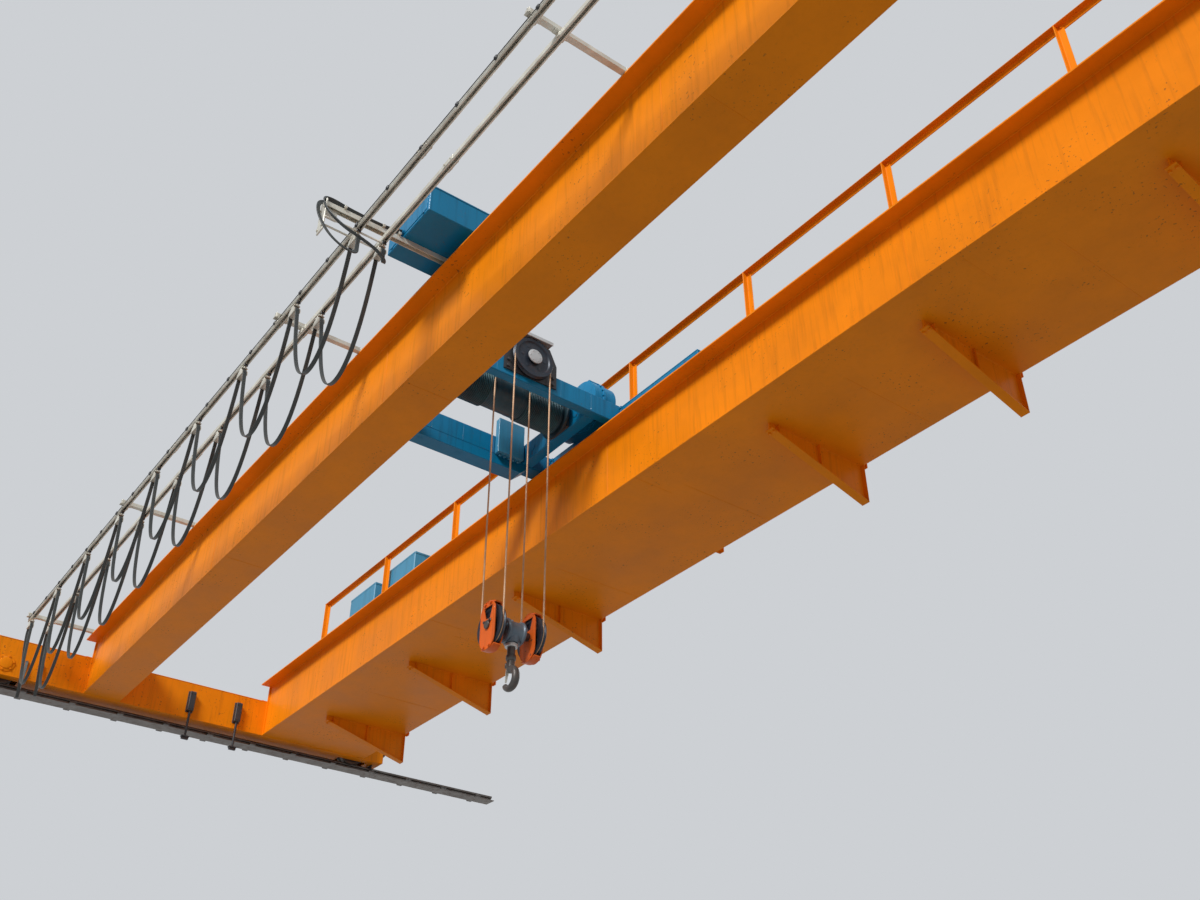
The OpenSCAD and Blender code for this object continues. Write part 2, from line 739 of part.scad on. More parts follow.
module upper_sheave_frame() {
  plate_half = sheave_y + groove + 65;
  keeper_l = 330;
  keeper_h = 24;
  color(black_paint) on_trolley() {
    slab([upper_plate_x, -plate_half, beam_z1 - 130], [upper_plate_x + plate_x_t, plate_half, keeper_z]);
    slab([upper_plate_x, -keeper_l/2, keeper_z],
         [sheave_r + sheave_w/2 + 16, keeper_l/2, keeper_z + keeper_h]);
  }
}
// A rope sheave about Y: hub, web and a rim with a round groove
module sheave(pitch_r, hole_r) {
  rim = pitch_r + groove;
  hub_r = hole_r + 22;
  web_half = 9;
  inner = pitch_r - 34;
  half = sheave_w/2;
  rotate([90, 0, 0]) rotate_extrude($fn = 96) difference() {
    polygon([[hole_r, -half], [hub_r, -half], [hub_r, -web_half], [inner, -web_half], [inner + 10, -half],
      [rim, -half], [rim, half], [inner + 10, half], [inner, web_half], [hub_r, web_half],
      [hub_r, half], [hole_r, half]]);
    translate([pitch_r, 0]) circle(r = rope_d/2 + fit);
    polygon([[pitch_r, -rope_d/2 - fit], [rim + 1, -rope_d/2 - 6],
             [rim + 1, rope_d/2 + 6], [pitch_r, rope_d/2 + fit]]);
  }
}
module upper_sheave() {
  cap_x = sheave_r + sheave_w/2 + 2;
  color(steel) on_trolley() {
    translate([sheave_r, 0, upper_z]) rotate([0, 0, 90]) sheave(sheave_y, block_axle_d/2 + fit);
    bar_x(block_axle_d/2, upper_plate_x + plate_x_t, cap_x, 0, upper_z);
    bar_x(block_axle_d/2 + 35, cap_x, cap_x + 14, 0, upper_z);
  }
}
module hoist_ropes() {
  color(zinc) on_trolley() both_sides() {
    bar_z(rope_d/2, block_z, upper_z, sheave_r, sheave_y);
    bar_z(rope_d/2, block_z, drum_z, -sheave_r, sheave_y);
  }
}

// Hook block
module block_housing() {
  half = block_w/2;
  axle_half = sheave_y + guard_gap + guard_t + 14;
  color(blue_paint) on_trolley() {
    bar_y(body_r, -half, half, 0, block_z);
    bar_y(block_axle_d/2, -axle_half, axle_half, 0, block_z);
  }
}
module sheave_guards() {
  strap_x = strap_w/2;
  color(guard_paint) on_trolley() both_sides() translate([0, sheave_y, block_z]) {
    for (y = [-guard_gap - guard_t, guard_gap]) along_y(y, y + guard_t) difference() {
      union() {
        translate([-strap_x, -guard_r + strap_x]) square([strap_w, 2*guard_r - strap_w]);
        for (s = [-1, 1]) translate([0, s*(guard_r - strap_x)]) circle(r = strap_x);
      }
      circle(r = block_axle_d/2 + fit);
      polygon([[-26, 48], [26, 48], [56, 138], [-56, 138]]);
    }
    along_y(-guard_gap, guard_gap) for (s = [-1, 1]) intersection() {
      difference() {
        circle(r = guard_r);
        circle(r = guard_r - guard_t);
      }
      translate([-strap_x + 40, s > 0 ? 0 : -guard_r]) square([strap_w - 80, guard_r]);
    }
  }
}
module block_sheaves() {
  color(steel) on_trolley() both_sides() translate([0, sheave_y, block_z])
    sheave(sheave_r, block_axle_d/2 + fit);
}
module hook() {
  top = block_z - body_r - fit;
  color(black_paint) on_trolley() {
    bar_z(shank_r, hook_z + hook_r, top, 0, 0);
    bar_z(shank_r + 18, top - nut_h, top, 0, 0);
    translate([0, 0, hook_z]) rotate([90, 0, 0]) rotate_extrude(angle = tip_angle - 270, start = 90, $fn = 72)
      translate([hook_r, 0]) circle(r = hook_s);
    translate([-hook_r*cos(tip_angle), 0, hook_z - hook_r*sin(tip_angle)]) sphere(r = hook_s - 2);
  }
}
module hook_latch() {
  tip_x = -hook_r*cos(tip_angle);
  tip_z = hook_z - hook_r*sin(tip_angle) + hook_s - 1;
  color(zinc) on_trolley() along_y(-9, 9)
    polygon([[-shank_r - fit, hook_z + 115], [-shank_r - fit, hook_z + 90],
             [tip_x + 6, tip_z], [tip_x - 6, tip_z]]);
}

far_runway_rail();
near_runway_rail();
left_girder_flanges();
left_girder_webs();
right_girder_flanges();
right_girder_webs();
girder_end_plates();
trolley_rails();
trolley_end_stops();
far_end_truck();
near_end_truck();
bridge_wheels();
truck_buffers();
travel_drives();
rail_sweeps();
current_collectors();
walkway_deck();
walkway_brackets();
walkway_toe_board();
walkway_handrail();
girder_handrail();
control_cabinets();
festoon_arms();
festoon_tracks();
festoon_end_clamp();
trolley_side_frames();
trolley_cross_beams();
trolley_long_beams();
trolley_wheels();
trolley_travel_motors();
drum_bearings();
hoist_gearbox();
hoist_motor();
switchgear_box();
terminal_box();
upper_sheave_frame();
upper_sheave();
tow_arm();
hoist_ropes();
rope_drum();
block_housing();
sheave_guards();
block_sheaves();
hook();
hook_latch();
cable_carrier_1();
cable_carrier_2();
cable_carrier_3();
cable_carrier_4();
cable_carrier_5();
cable_carrier_6();
cable_carrier_7();
cable_tow_carrier();
power_cable();
control_cable();
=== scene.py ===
import json
import math
import bpy
import numpy as np
from mathutils import Matrix, Vector


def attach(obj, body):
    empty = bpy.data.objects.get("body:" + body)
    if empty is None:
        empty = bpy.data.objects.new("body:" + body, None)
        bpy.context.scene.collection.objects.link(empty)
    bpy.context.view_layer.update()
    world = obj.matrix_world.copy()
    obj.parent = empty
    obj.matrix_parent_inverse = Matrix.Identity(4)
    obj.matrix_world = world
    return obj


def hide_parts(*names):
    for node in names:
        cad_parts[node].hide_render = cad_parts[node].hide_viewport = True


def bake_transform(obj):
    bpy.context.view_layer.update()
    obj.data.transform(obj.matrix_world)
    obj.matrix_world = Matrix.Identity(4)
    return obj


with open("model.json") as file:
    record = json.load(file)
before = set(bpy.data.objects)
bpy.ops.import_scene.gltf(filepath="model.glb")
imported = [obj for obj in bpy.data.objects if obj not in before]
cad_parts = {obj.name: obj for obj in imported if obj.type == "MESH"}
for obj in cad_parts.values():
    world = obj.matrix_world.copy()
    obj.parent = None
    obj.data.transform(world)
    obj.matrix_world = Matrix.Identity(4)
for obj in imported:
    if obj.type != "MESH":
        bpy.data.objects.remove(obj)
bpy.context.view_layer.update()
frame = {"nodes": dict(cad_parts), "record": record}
nodes = frame["nodes"]
scene = bpy.context.scene
print("frame loaded,", len(nodes), "nodes")


def srgb(red, green, blue):
    # a colour as read off a screen, 0 to 255, turned into linear light
    c = np.array([red, green, blue]) / 255.0
    lin = np.where(c <= 0.04045, c / 12.92, ((c + 0.055) / 1.055) ** 2.4)
    return (*[float(v) for v in lin], 1.0)


def unit(v):
    v = np.asarray(v, float)
    return v / np.linalg.norm(v)


# Camera: the view directions follow from where the lines along X and Z meet in the picture
cameraSettings = {
    "place": (13.005, -4.144, -4.940),
    "pixels": 1218.2,        # focal length in pixels of a 1200 x 900 frame
    "frame": (1200, 900),
    "meetX": (-518, 1276),   # where lines running to -X meet
    "meetZ": (596, -1352),   # where lines running to +Z meet
}


def placeCamera(s):
    wide, high = s["frame"]
    toward = lambda p: unit([p[0] - wide / 2, p[1] - high / 2, s["pixels"]])
    alongX = -toward(s["meetX"])
    alongZ = toward(s["meetZ"])
    alongZ = unit(alongZ - alongX * alongX.dot(alongZ))
    alongY = np.cross(alongZ, alongX)
    axes = np.stack([alongX, alongY, alongZ], 1)   # rows: right, down, forward
    turn = Matrix([axes[0], -axes[1], -axes[2]]).transposed().to_4x4()
    data = bpy.data.cameras.new("photoCamera")
    data.sensor_width = 36
    data.lens = 36 * s["pixels"] / wide
    data.clip_end = 200
    cam = bpy.data.objects.new("photoCamera", data)
    cam.matrix_world = Matrix.Translation(s["place"]) @ turn
    scene.collection.objects.link(cam)
    scene.camera = cam


placeCamera(cameraSettings)
print("camera placed")


# Shapes: a part is (points, [faces]), each faces array holding polygons of one size

def gridPart(p, closeU=False, closeV=True, caps=True):
    # points p[u, v]: each cell between neighbours in u and v is one quad
    nu, nv = p.shape[:2]
    u = np.arange(nu if closeU else nu - 1)
    v = np.arange(nv if closeV else nv - 1)
    uu, vv = np.meshgrid(u, v, indexing="ij")
    un, vn = (uu + 1) % nu, (vv + 1) % nv
    quads = np.stack([uu * nv + vv, uu * nv + vn, un * nv + vn, un * nv + vv], -1).reshape(-1, 4)
    faces = [quads]
    if caps and closeV and not closeU:
        ring = np.arange(nv)
        faces += [ring[None, ::-1], (ring + (nu - 1) * nv)[None]]
    return p.reshape(-1, 3).astype(float), faces


def merged(parts):
    # several parts as one, each one's indices moved past those before it
    points, faces, start = [], [], 0
    for p, fs in parts:
        points.append(p)
        faces += [f + start for f in fs]
        start += len(p)
    return np.concatenate(points), faces


def placed(part, centres, axes=None):
    # copies of a part: x, y, z of each point counted along the given axes from each centre
    p, fs = part
    c = np.atleast_2d(np.asarray(centres, float))
    m = np.eye(3) if axes is None else np.asarray(axes, float)
    m = np.broadcast_to(m, (len(c), 3, 3))
    q = np.einsum("ni,kij->knj", p, m) + c[:, None]
    step = (np.arange(len(c)) * len(p))[:, None, None]
    return q.reshape(-1, 3), [(f[None] + step).reshape(-1, f.shape[1]) for f in fs]


# rows say where a part's own x, y and z go
alongXAxes = [[0, 1, 0], [0, 0, 1], [1, 0, 0]]    # its z runs along X
alongYAxes = [[0, 0, 1], [1, 0, 0], [0, 1, 0]]    # its z runs along Y
downAxes = [[1, 0, 0], [0, -1, 0], [0, 0, -1]]
backXAxes = [[0, -1, 0], [0, 0, 1], [-1, 0, 0]]
backYAxes = [[0, 0, 1], [-1, 0, 0], [0, -1, 0]]


def lathe(profile, sides=32):
    # profile of (radius, height) turned about z, a full circle in equal steps
    pr = np.asarray(profile, float)
    a = np.arange(sides) * 2 * math.pi / sides
    ring = np.stack([np.cos(a), np.sin(a)], -1)
    xy = pr[:, None, :1] * ring[None]
    z = np.broadcast_to(pr[:, None, 1:], xy.shape[:2] + (1,))
    return gridPart(np.concatenate([xy, z], -1))


def rod(a, b, radius, sides=16, edge=0.0):
    # straight round bar from a to b with small chamfers
    a, b = np.asarray(a, float), np.asarray(b, float)
    long = np.linalg.norm(b - a)
    z = (b - a) / long
    x = unit(np.cross(z, [1, 0, 0] if abs(z[0]) < 0.9 else [0, 1, 0]))
    prof = [(radius - edge, 0), (radius, edge), (radius, long - edge), (radius - edge, long)]
    prof = prof if edge else prof[1:3]
    return placed(lathe(prof, sides), [a], [[x, np.cross(z, x), z]])


def boxFaces():
    # corner c of eight has three points, 3c + k on the face across axis k
    spot = lambda signs, k: 3 * (4 * (signs[0] > 0) + 2 * (signs[1] > 0) + (signs[2] > 0)) + k
    quads, tris = [], []
    for k in range(3):
        i, j = (k + 1) % 3, (k + 2) % 3
        signs = [0, 0, 0]
        for s in (-1, 1):
            face = []
            for a, b in ((-1, -1), (1, -1), (1, 1), (-1, 1)):
                signs[k], signs[i], signs[j] = s, a, b
                face.append(spot(signs, k))
            quads.append(face[::s])
        for a in (-1, 1):
            for b in (-1, 1):
                face = []
                for c, side in ((-1, i), (-1, j), (1, j), (1, i)):
                    signs[i], signs[j], signs[k] = a, b, c
                    face.append(spot(signs, side))
                quads.append(face[::a * b])
    for a in (-1, 1):
        for b in (-1, 1):
            for c in (-1, 1):
                tris.append([spot((a, b, c), k) for k in range(3)][::a * b * c])
    return np.array(quads), np.array(tris)


boxQuads, boxTris = boxFaces()
boxSigns = np.array([[a, b, c] for a in (-1, 1) for b in (-1, 1) for c in (-1, 1)])


def bars(pairs, edge=0.004):
    # boxes between pairs of corners, all edges cut at 45 degrees
    c = np.asarray(pairs, float)
    lo, hi = c.min(1), c.max(1)
    half = (hi - lo) / 2
    e = np.minimum(edge, half.min(1) * 0.45)[:, None, None, None]
    size = half[:, None, None] - e * (1 - np.eye(3))
    p = ((lo + hi) / 2)[:, None, None] + boxSigns[None, :, None] * size
    step = (np.arange(len(c)) * 24)[:, None, None]
    return p.reshape(-1, 3), [(f[None] + step).reshape(-1, f.shape[1]) for f in (boxQuads, boxTris)]


def bar(lo, hi, edge=0.004):
    return bars([(lo, hi)], edge)


def sweep(path, profile, across=(0, 1, 0), turn=None):
    # profile (a, b) carried along path: its frame starts with a along across and never twists,
    # and turn, an angle for each ring, turns the profile in it
    path, prof = np.asarray(path, float), np.asarray(profile, float)
    t = np.gradient(path, axis=0)
    t /= np.linalg.norm(t, axis=1)[:, None]
    x, rows = np.asarray(across, float), []
    for ti in t:
        x = unit(x - ti * ti.dot(x))
        rows.append((x, np.cross(ti, x)))
    rows = np.array(rows)
    if turn is not None:
        c, s = np.cos(turn)[:, None], np.sin(turn)[:, None]
        rows = np.stack([rows[:, 0] * c + rows[:, 1] * s, rows[:, 1] * c - rows[:, 0] * s], 1)
    return gridPart(path[:, None] + np.einsum("ka,nad->nkd", prof, rows))


def circle(radius, sides=12):
    a = np.arange(sides) * 2 * math.pi / sides
    return np.column_stack([np.cos(a), np.sin(a)]) * radius


def tube(path, radius, sides=12):
    start = np.subtract(path[1], path[0])
    return sweep(path, circle(radius, sides), np.cross(start, [0.1, 0.2, 0.97]))


def roundBox(wide, high, radius, steps=4):
    # outline of a rectangle about the origin with round corners
    a = np.linspace(0, math.pi / 2, steps)
    out = []
    for k, (sx, sy) in enumerate(((1, 1), (-1, 1), (-1, -1), (1, -1))):
        b = a + k * math.pi / 2
        out.append(np.column_stack([sx * (wide / 2 - radius) + radius * np.cos(b),
                                    sy * (high / 2 - radius) + radius * np.sin(b)]))
    return np.concatenate(out)


def plate(outline, z0, z1, axes=None, centre=(0, 0, 0)):
    # flat outline (x, y) raised from z0 to z1
    o = np.asarray(outline, float)
    p = np.stack([np.column_stack([o, np.full(len(o), z)]) for z in (z0, z1)])
    return placed(gridPart(p), [centre], axes if axes is None else [axes])


def spread(x, y, z):
    # points from their coordinates, each an array or one value for all
    return np.stack(np.broadcast_arrays(x, y, z), -1).astype(float)


def hexBolt(across, head, washer):
    # washer and hexagon head with a turned top
    a = np.arange(24) * math.pi / 12
    hexR = across / 2 / np.cos((a + math.pi / 6) % (math.pi / 3) - math.pi / 6)
    seat, top = 0.003, 0.003 + head
    rows = [(washer / 2, 0), (washer / 2, seat), (hexR, seat), (hexR, seat + head * 0.85),
            (across * 0.46, top), (across * 0.2, top)]
    return gridPart(np.array([spread(r * np.cos(a), r * np.sin(a), z) for r, z in rows]))


def bolts(size, spots, axes=None):
    # bolts of one size (across flats, head, washer)
    return placed(hexBolt(*size), spots, axes)


def mirrored(profile):
    # a lathe profile followed by its mirror image beyond height 0
    return list(profile) + [(r, -q) for r, q in profile[::-1]]


def outward(side):
    # axes whose z leaves the face on that side of Y
    return alongYAxes if side > 0 else backYAxes


def smoothLine(points, count):
    # curve through the points: cubic pieces whose slope at a point is that of its neighbours
    p = np.asarray(points, float)
    m = np.gradient(p, axis=0)
    u = np.linspace(0, len(p) - 1, count)
    i = np.minimum(u.astype(int), len(p) - 2)
    t = (u - i)[:, None]
    return ((2 * t**3 - 3 * t**2 + 1) * p[i] + (t**3 - 2 * t**2 + t) * m[i]
            + (3 * t**2 - 2 * t**3) * p[i + 1] + (t**3 - t**2) * m[i + 1])


def boxBeads(lo, hi, along, radius=0.004):
    # weld beads along the four long edges of a box
    lo, hi = np.array(lo, float), np.array(hi, float)
    i, j = [k for k in range(3) if k != along]
    out = []
    for a in (lo[i], hi[i]):
        for b in (lo[j], hi[j]):
            p, q = lo.copy(), hi.copy()
            p[i], p[j], q[i], q[j] = a, b, a, b
            out.append(rod(p, q, radius, 8))
    return merged(out)


def ringBolts(centre, radius, count, axes, size, start=0.0):
    # bolts on a circle about centre, in the plane across the axes' own z
    a = start + np.arange(count) * 2 * math.pi / count
    m = np.array(axes, float)
    c = np.asarray(centre) + radius * (np.outer(np.cos(a), m[0]) + np.outer(np.sin(a), m[1]))
    return bolts(size, c, axes)


def piece(name, parts, body, slotName, *replaced, look=None, smooth=35):
    # one object in the row's frame, its faces shaded smooth up to an angle in degrees; it has its
    # slot's material unless another look is given, and without a body it is attached to none
    p, fs = merged(parts) if isinstance(parts, list) else parts
    mesh = bpy.data.meshes.new(name)
    mesh.vertices.add(len(p))
    mesh.vertices.foreach_set("co", p.astype(np.float32).ravel())
    loops = np.concatenate([f.ravel() for f in fs])
    sizes = np.concatenate([np.full(len(f), f.shape[1]) for f in fs])
    mesh.loops.add(len(loops))
    mesh.loops.foreach_set("vertex_index", loops.astype(np.int32))
    mesh.polygons.add(len(sizes))
    mesh.polygons.foreach_set("loop_start", (np.cumsum(sizes) - sizes).astype(np.int32))
    mesh.update(calc_edges=True)
    mesh.validate()
    if smooth:
        mesh.shade_smooth()
        mesh.set_sharp_from_angle(angle=math.radians(smooth))
    obj = bpy.data.objects.new(name, mesh)
    scene.collection.objects.link(obj)
    obj.data.materials.append(look or materials[slotName])
    if replaced:
        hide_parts(*replaced)
    if body:
        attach(obj, body)
    return obj


def flipped(part, axis, about=0.0):
    # mirror image of a part, its faces turned round again
    p = part[0].copy()
    p[:, axis] = 2 * about - p[:, axis]
    return p, [f[:, ::-1] for f in part[1]]


def bothSides(parts, axis=1, about=0.0):
    part = merged(parts) if isinstance(parts, list) else parts
    return merged([part, flipped(part, axis, about)])


def moved(part, by):
    return part[0] + np.asarray(by, float), part[1]


# Materials: small helpers for their nodes

def node(tree, kind, values=(), **props):
    n = tree.nodes.new("ShaderNode" + kind)
    for key, value in props.items():
        setattr(n, key, value)
    for key, value in dict(values).items():
        if isinstance(value, bpy.types.NodeSocket):
            tree.links.new(value, n.inputs[key])
        else:
            n.inputs[key].default_value = value
    return n


def math2(tree, operation, a, b=0.0, clamp=False):
    return node(tree, "Math", {0: a, 1: b}, operation=operation, use_clamp=clamp).outputs[0]


def times(tree, a, b):
    return math2(tree, "MULTIPLY", a, b)


def plus(tree, a, b, clamp=False):
    return math2(tree, "ADD", a, b, clamp)


def ramp(tree, value, low, high, start=0.0, end=1.0):
    # value from low..high onto start..end, held at both ends
    return node(tree, "MapRange", {"Value": value, "From Min": low, "From Max": high,
                                   "To Min": start, "To Max": end}).outputs[0]


def placeAndUp(tree):
    # object coordinates, and how far a face looks up
    normal = node(tree, "NewGeometry").outputs["Normal"]
    return node(tree, "TexCoord").outputs["Object"], node(tree, "SeparateXYZ", {0: normal}).outputs[2]


def blendColour(tree, factor, a, b, kind="MIX"):
    n = node(tree, "Mix", data_type="RGBA", blend_type=kind)
    for key, value in ((0, factor), (6, a), (7, b)):
        if isinstance(value, bpy.types.NodeSocket):
            tree.links.new(value, n.inputs[key])
        else:
            n.inputs[key].default_value = value
    return n.outputs[2]


def noise(tree, vector, scale, detail=3.0, rough=0.55):
    return node(tree, "TexNoise", {"Vector": vector, "Scale": scale, "Detail": detail,
                                   "Roughness": rough}).outputs[0]


def stretched(tree, vector, scale, turn=(0, 0, 0)):
    return node(tree, "Mapping", {"Vector": vector, "Scale": scale, "Rotation": turn}).outputs[0]


def group(name, inputs, outputs, build):
    # inputs and outputs are (name, kind) and inputs also have a value; build fills the tree
    tree = bpy.data.node_groups.new(name, "ShaderNodeTree")
    for label, kind, value in inputs:
        socket = tree.interface.new_socket(label, in_out="INPUT", socket_type="NodeSocket" + kind)
        socket.default_value = value
    for label, kind in outputs:
        tree.interface.new_socket(label, in_out="OUTPUT", socket_type="NodeSocket" + kind)
    source = tree.nodes.new("NodeGroupInput").outputs
    target = tree.nodes.new("NodeGroupOutput").inputs
    for label, value in build(tree, source).items():
        tree.links.new(value, target[label])
    return tree


def buildPaint(tree, s):
    at, up = placeAndUp(tree)
    broad = noise(tree, at, 1.6, 5, 0.62)
    shade = ramp(tree, broad, 0.3, 0.7, 0.86, 1.06)
    colour = blendColour(tree, 1.0, s["Paint"], node(tree, "CombineColor",
            {0: shade, 1: shade, 2: shade}).outputs[0],
                         "MULTIPLY")
    # runs of dirt down the upright faces
    runs = noise(tree, stretched(tree, at, (9, 9, 0.5)), 3.1, 6, 0.6)
    side = ramp(tree, math2(tree, "ABSOLUTE", up), 0.2, 0.6, 1.0, 0.25)
    runs = times(tree, times(tree, ramp(tree, runs, 0.5, 0.74), side), s["Streaks"])
    colour = blendColour(tree, runs, colour, s["Dirt"])
    # dust lies on what faces up, in drifts
    drift = times(tree, ramp(tree, up, 0.45, 0.95), ramp(tree, noise(tree, at, 7, 5), 0.32, 0.62, 0.35, 1))
    drift = times(tree, drift, s["Dust"])
    colour = blendColour(tree, drift, colour, (0.19, 0.17, 0.145, 1))
    # chips, in groups, down to primer and rust
    spots = times(tree, ramp(tree, noise(tree, at, 47, 2, 0.5), 0.655, 0.675),
                  ramp(tree, noise(tree, at, 2.3, 2), 0.5, 0.62))
    spots = times(tree, spots, s["Chips"])
    rust = blendColour(tree, noise(tree, at, 130, 2), (0.05, 0.022, 0.012, 1), (0.16, 0.062, 0.03, 1))
    colour = blendColour(tree, spots, colour, rust)
    fine = noise(tree, at, 230, 2, 0.4)
    scrape = ramp(tree, noise(tree, stretched(tree, at, (2, 55, 55), (0.3, 0.1, 0.2)), 2, 3), 0.62, 0.68)
    rough = plus(tree, ramp(tree, broad, 0.3, 0.7, 0.36, 0.5), times(tree, drift, 0.4))
    rough = plus(tree, rough, times(tree, plus(tree, spots, runs), 0.25))
    rough = plus(tree, rough, times(tree, scrape, 0.08), True)
    high = math2(tree, "SUBTRACT", times(tree, fine, 0.25), times(tree, spots, 0.5))
    high = plus(tree, high, times(tree, drift, noise(tree, at, 60, 4)))
    return {"Color": colour, "Roughness": rough, "Height": high}


def buildSteel(tree, s):
    at, up = placeAndUp(tree)
    broad = noise(tree, at, 6, 6, 0.6)
    grain = noise(tree, at, 190, 3, 0.6)
    colour = blendColour(tree, ramp(tree, broad, 0.35, 0.68), s["Steel"], s["Worn"])
    stain = times(tree, ramp(tree, noise(tree, at, 21, 4), 0.5, 0.7), s["Rust"])
    colour = blendColour(tree, stain, colour, (0.11, 0.05, 0.028, 1))
    drift = times(tree, ramp(tree, up, 0.6, 1), ramp(tree, noise(tree, at, 9, 4), 0.35, 0.65, 0.1, 0.5))
    colour = blendColour(tree, drift, colour, (0.16, 0.145, 0.125, 1))
    rough = plus(tree, ramp(tree, grain, 0.3, 0.7, 0.34, 0.5), times(tree, stain, 0.3))
    rough = plus(tree, rough, times(tree, drift, 0.4), True)
    return {"Color": colour, "Roughness": rough, "Height": plus(tree, grain, times(tree, stain, 0.6)),
            "Bare": math2(tree, "SUBTRACT", 1.0, math2(tree, "MAXIMUM", stain, drift))}


paintGroup = group("agedPaint", [
    ("Paint", "Color", (0.8, 0.4, 0.05, 1)), ("Dirt", "Color", (0.1, 0.06, 0.03, 1)),
    ("Streaks", "Float", 0.4), ("Dust", "Float", 0.6), ("Chips", "Float", 0.6)],
    [("Color", "Color"), ("Roughness", "Float"), ("Height", "Float")], buildPaint)
steelGroup = group("agedSteel", [
    ("Steel", "Color", (0.2, 0.2, 0.2, 1)), ("Worn", "Color", (0.3, 0.3, 0.3, 1)), ("Rust", "Float", 0.4)],
    [("Color", "Color"), ("Roughness", "Float"), ("Height", "Float"), ("Bare", "Float")], buildSteel)


def material(name, tree, values, metal=0.0, coat=0.0, bump=0.0006, extra=None, gloss=0.5):
    m = bpy.data.materials.new(name)
    m.use_nodes = True
    t = m.node_tree
    shader = t.nodes["Principled BSDF"]
    g = node(t, "Group", node_tree=tree)
    for key, value in values.items():
        g.inputs[key].default_value = value
    high = g.outputs["Height"]
    if extra:
        high = extra(t, high)
    t.links.new(g.outputs["Color"], shader.inputs["Base Color"])
    t.links.new(g.outputs["Roughness"], shader.inputs["Roughness"])
    if "Bare" in g.outputs and metal:
        t.links.new(ramp(t, g.outputs["Bare"], 0, 1, 0, metal), shader.inputs["Metallic"])
    else:
        shader.inputs["Metallic"].default_value = metal
    shader.inputs["Coat Weight"].default_value = coat
    shader.inputs["Specular IOR Level"].default_value = gloss
    n = node(t, "Bump", {"Height": high, "Strength": 0.6, "Distance": bump})
    t.links.new(n.outputs[0], shader.inputs["Normal"])
    return m


def treadPattern(t, high):
    # lens-shaped ridges that turn by a right angle from one square to the next, on top faces only
    at, up = placeAndUp(t)
    place = node(t, "SeparateXYZ", {0: stretched(t, at, (32, 32, 32), (0, 0, 0.785))})
    u, v = [math2(t, "SUBTRACT", math2(t, "FRACT", place.outputs[k]), 0.5) for k in (0, 1)]
    cells = plus(t, *[math2(t, "FLOOR", place.outputs[k]) for k in (0, 1)])
    other = times(t, math2(t, "FRACT", times(t, cells, 0.5)), 2.0)
    # height of one ridge: 1 - (2.2 a)^2 - (8.5 b)^2, not below 0
    bend = lambda q, k: math2(t, "POWER", times(t, math2(t, "ABSOLUTE", q), k), 2.0)
    lens = lambda a, b: math2(t, "SUBTRACT", 1.0, plus(t, bend(a, 2.2), bend(b, 8.5)), True)
    ridge = node(t, "Mix", {0: other, 2: lens(u, v), 3: lens(v, u)}, data_type="FLOAT").outputs[0]
    ridge = times(t, ridge, ramp(t, up, 0.8, 0.95))
    return plus(t, times(t, ridge, 4.0), high)


def paint(name, colour, dirt, streaks, dust, chips, **more):
    return material(name, paintGroup, {"Paint": colour, "Dirt": srgb(*dirt), "Streaks": streaks,
                                       "Dust": dust, "Chips": chips}, **more)


def steel(name, colour, worn, rust, metal, **more):
    return material(name, steelGroup, {"Steel": srgb(*colour), "Worn": srgb(*worn), "Rust": rust}, metal,
                    **more)


orange = srgb(242, 137, 8)
materials = {
    "orange_paint": paint("orangePaint", orange, (120, 66, 22), 0.28, 0.6, 0.55, gloss=0.12),
    "blue_paint": paint("bluePaint", srgb(8, 122, 168), (20, 46, 60), 0.35, 0.55, 0.7, coat=0.03,
                        gloss=0.25),
    "cabinet_paint": paint("cabinetPaint", srgb(58, 140, 176), (60, 66, 66), 0.25, 0.6, 0.4, coat=0.1),
    "guard_paint": paint("guardPaint", srgb(232, 104, 34), (74, 40, 26), 0.45, 0.5, 1.0, coat=0.03,
                         gloss=0.2),
    "black_paint": paint("blackPaint", srgb(44, 46, 50), (80, 72, 62), 0.3, 0.6, 0.8),
    "zinc": steel("zinc", (222, 220, 208), (186, 180, 166), 0.10, 0.3, bump=0.0003),
    "rail_steel": steel("railSteel", (112, 108, 104), (86, 80, 76), 0.55, 0.8),
    "forged_steel": steel("forgedSteel", (66, 64, 64), (96, 92, 88), 0.35, 0.55, bump=0.001),
    "block_steel": steel("blockSteel", (84, 102, 116), (100, 112, 122), 0.15, 0.25, bump=0.001),
    "rubber": paint("rubber", srgb(34, 34, 35), (70, 66, 60), 0.2, 0.7, 0.0, bump=0.0004),
    "cable_sheath": paint("cableSheath", srgb(50, 56, 56), (92, 90, 84), 0.35, 0.5, 0.0, bump=0.0003),
}
ropeLook = steel("ropeSteel", (222, 184, 144), (176, 134, 100), 0.12, 0.15, bump=0.0004)
# the rope wound on the drum gets a darker, blue-tinted copy of the rope's look: painted shade
shadedDrumRope = steel("shadedDrumRope", (40, 84, 92), (22, 44, 52), 0.15, 0.35, bump=0.0004)
# the rope drum: the trolley's blue paint made darker and teal, painted shade
drumLook = steel("shadedDrumBlue", (30, 62, 72), (20, 38, 46), 0.15, 0.35, bump=0.0008)
sheaveLook = steel("darkSheave", (30, 40, 54), (44, 50, 58), 0.2, 0.3, bump=0.0008)
paleLook = steel("machinedSteel", (206, 208, 208), (172, 174, 174), 0.1, 0.6, bump=0.0002)
deckLook = paint("treadPlate", orange, (120, 66, 22), 0.2, 0.75, 0.7, extra=treadPattern, gloss=0.12)

for entry in frame["record"]["subparts"]:
    nodes[entry["node"]].data.materials.clear()
    nodes[entry["node"]].data.materials.append(materials[entry["material_slot"]])
nodes["walkway_deck"].data.materials[0] = deckLook
print("materials made")


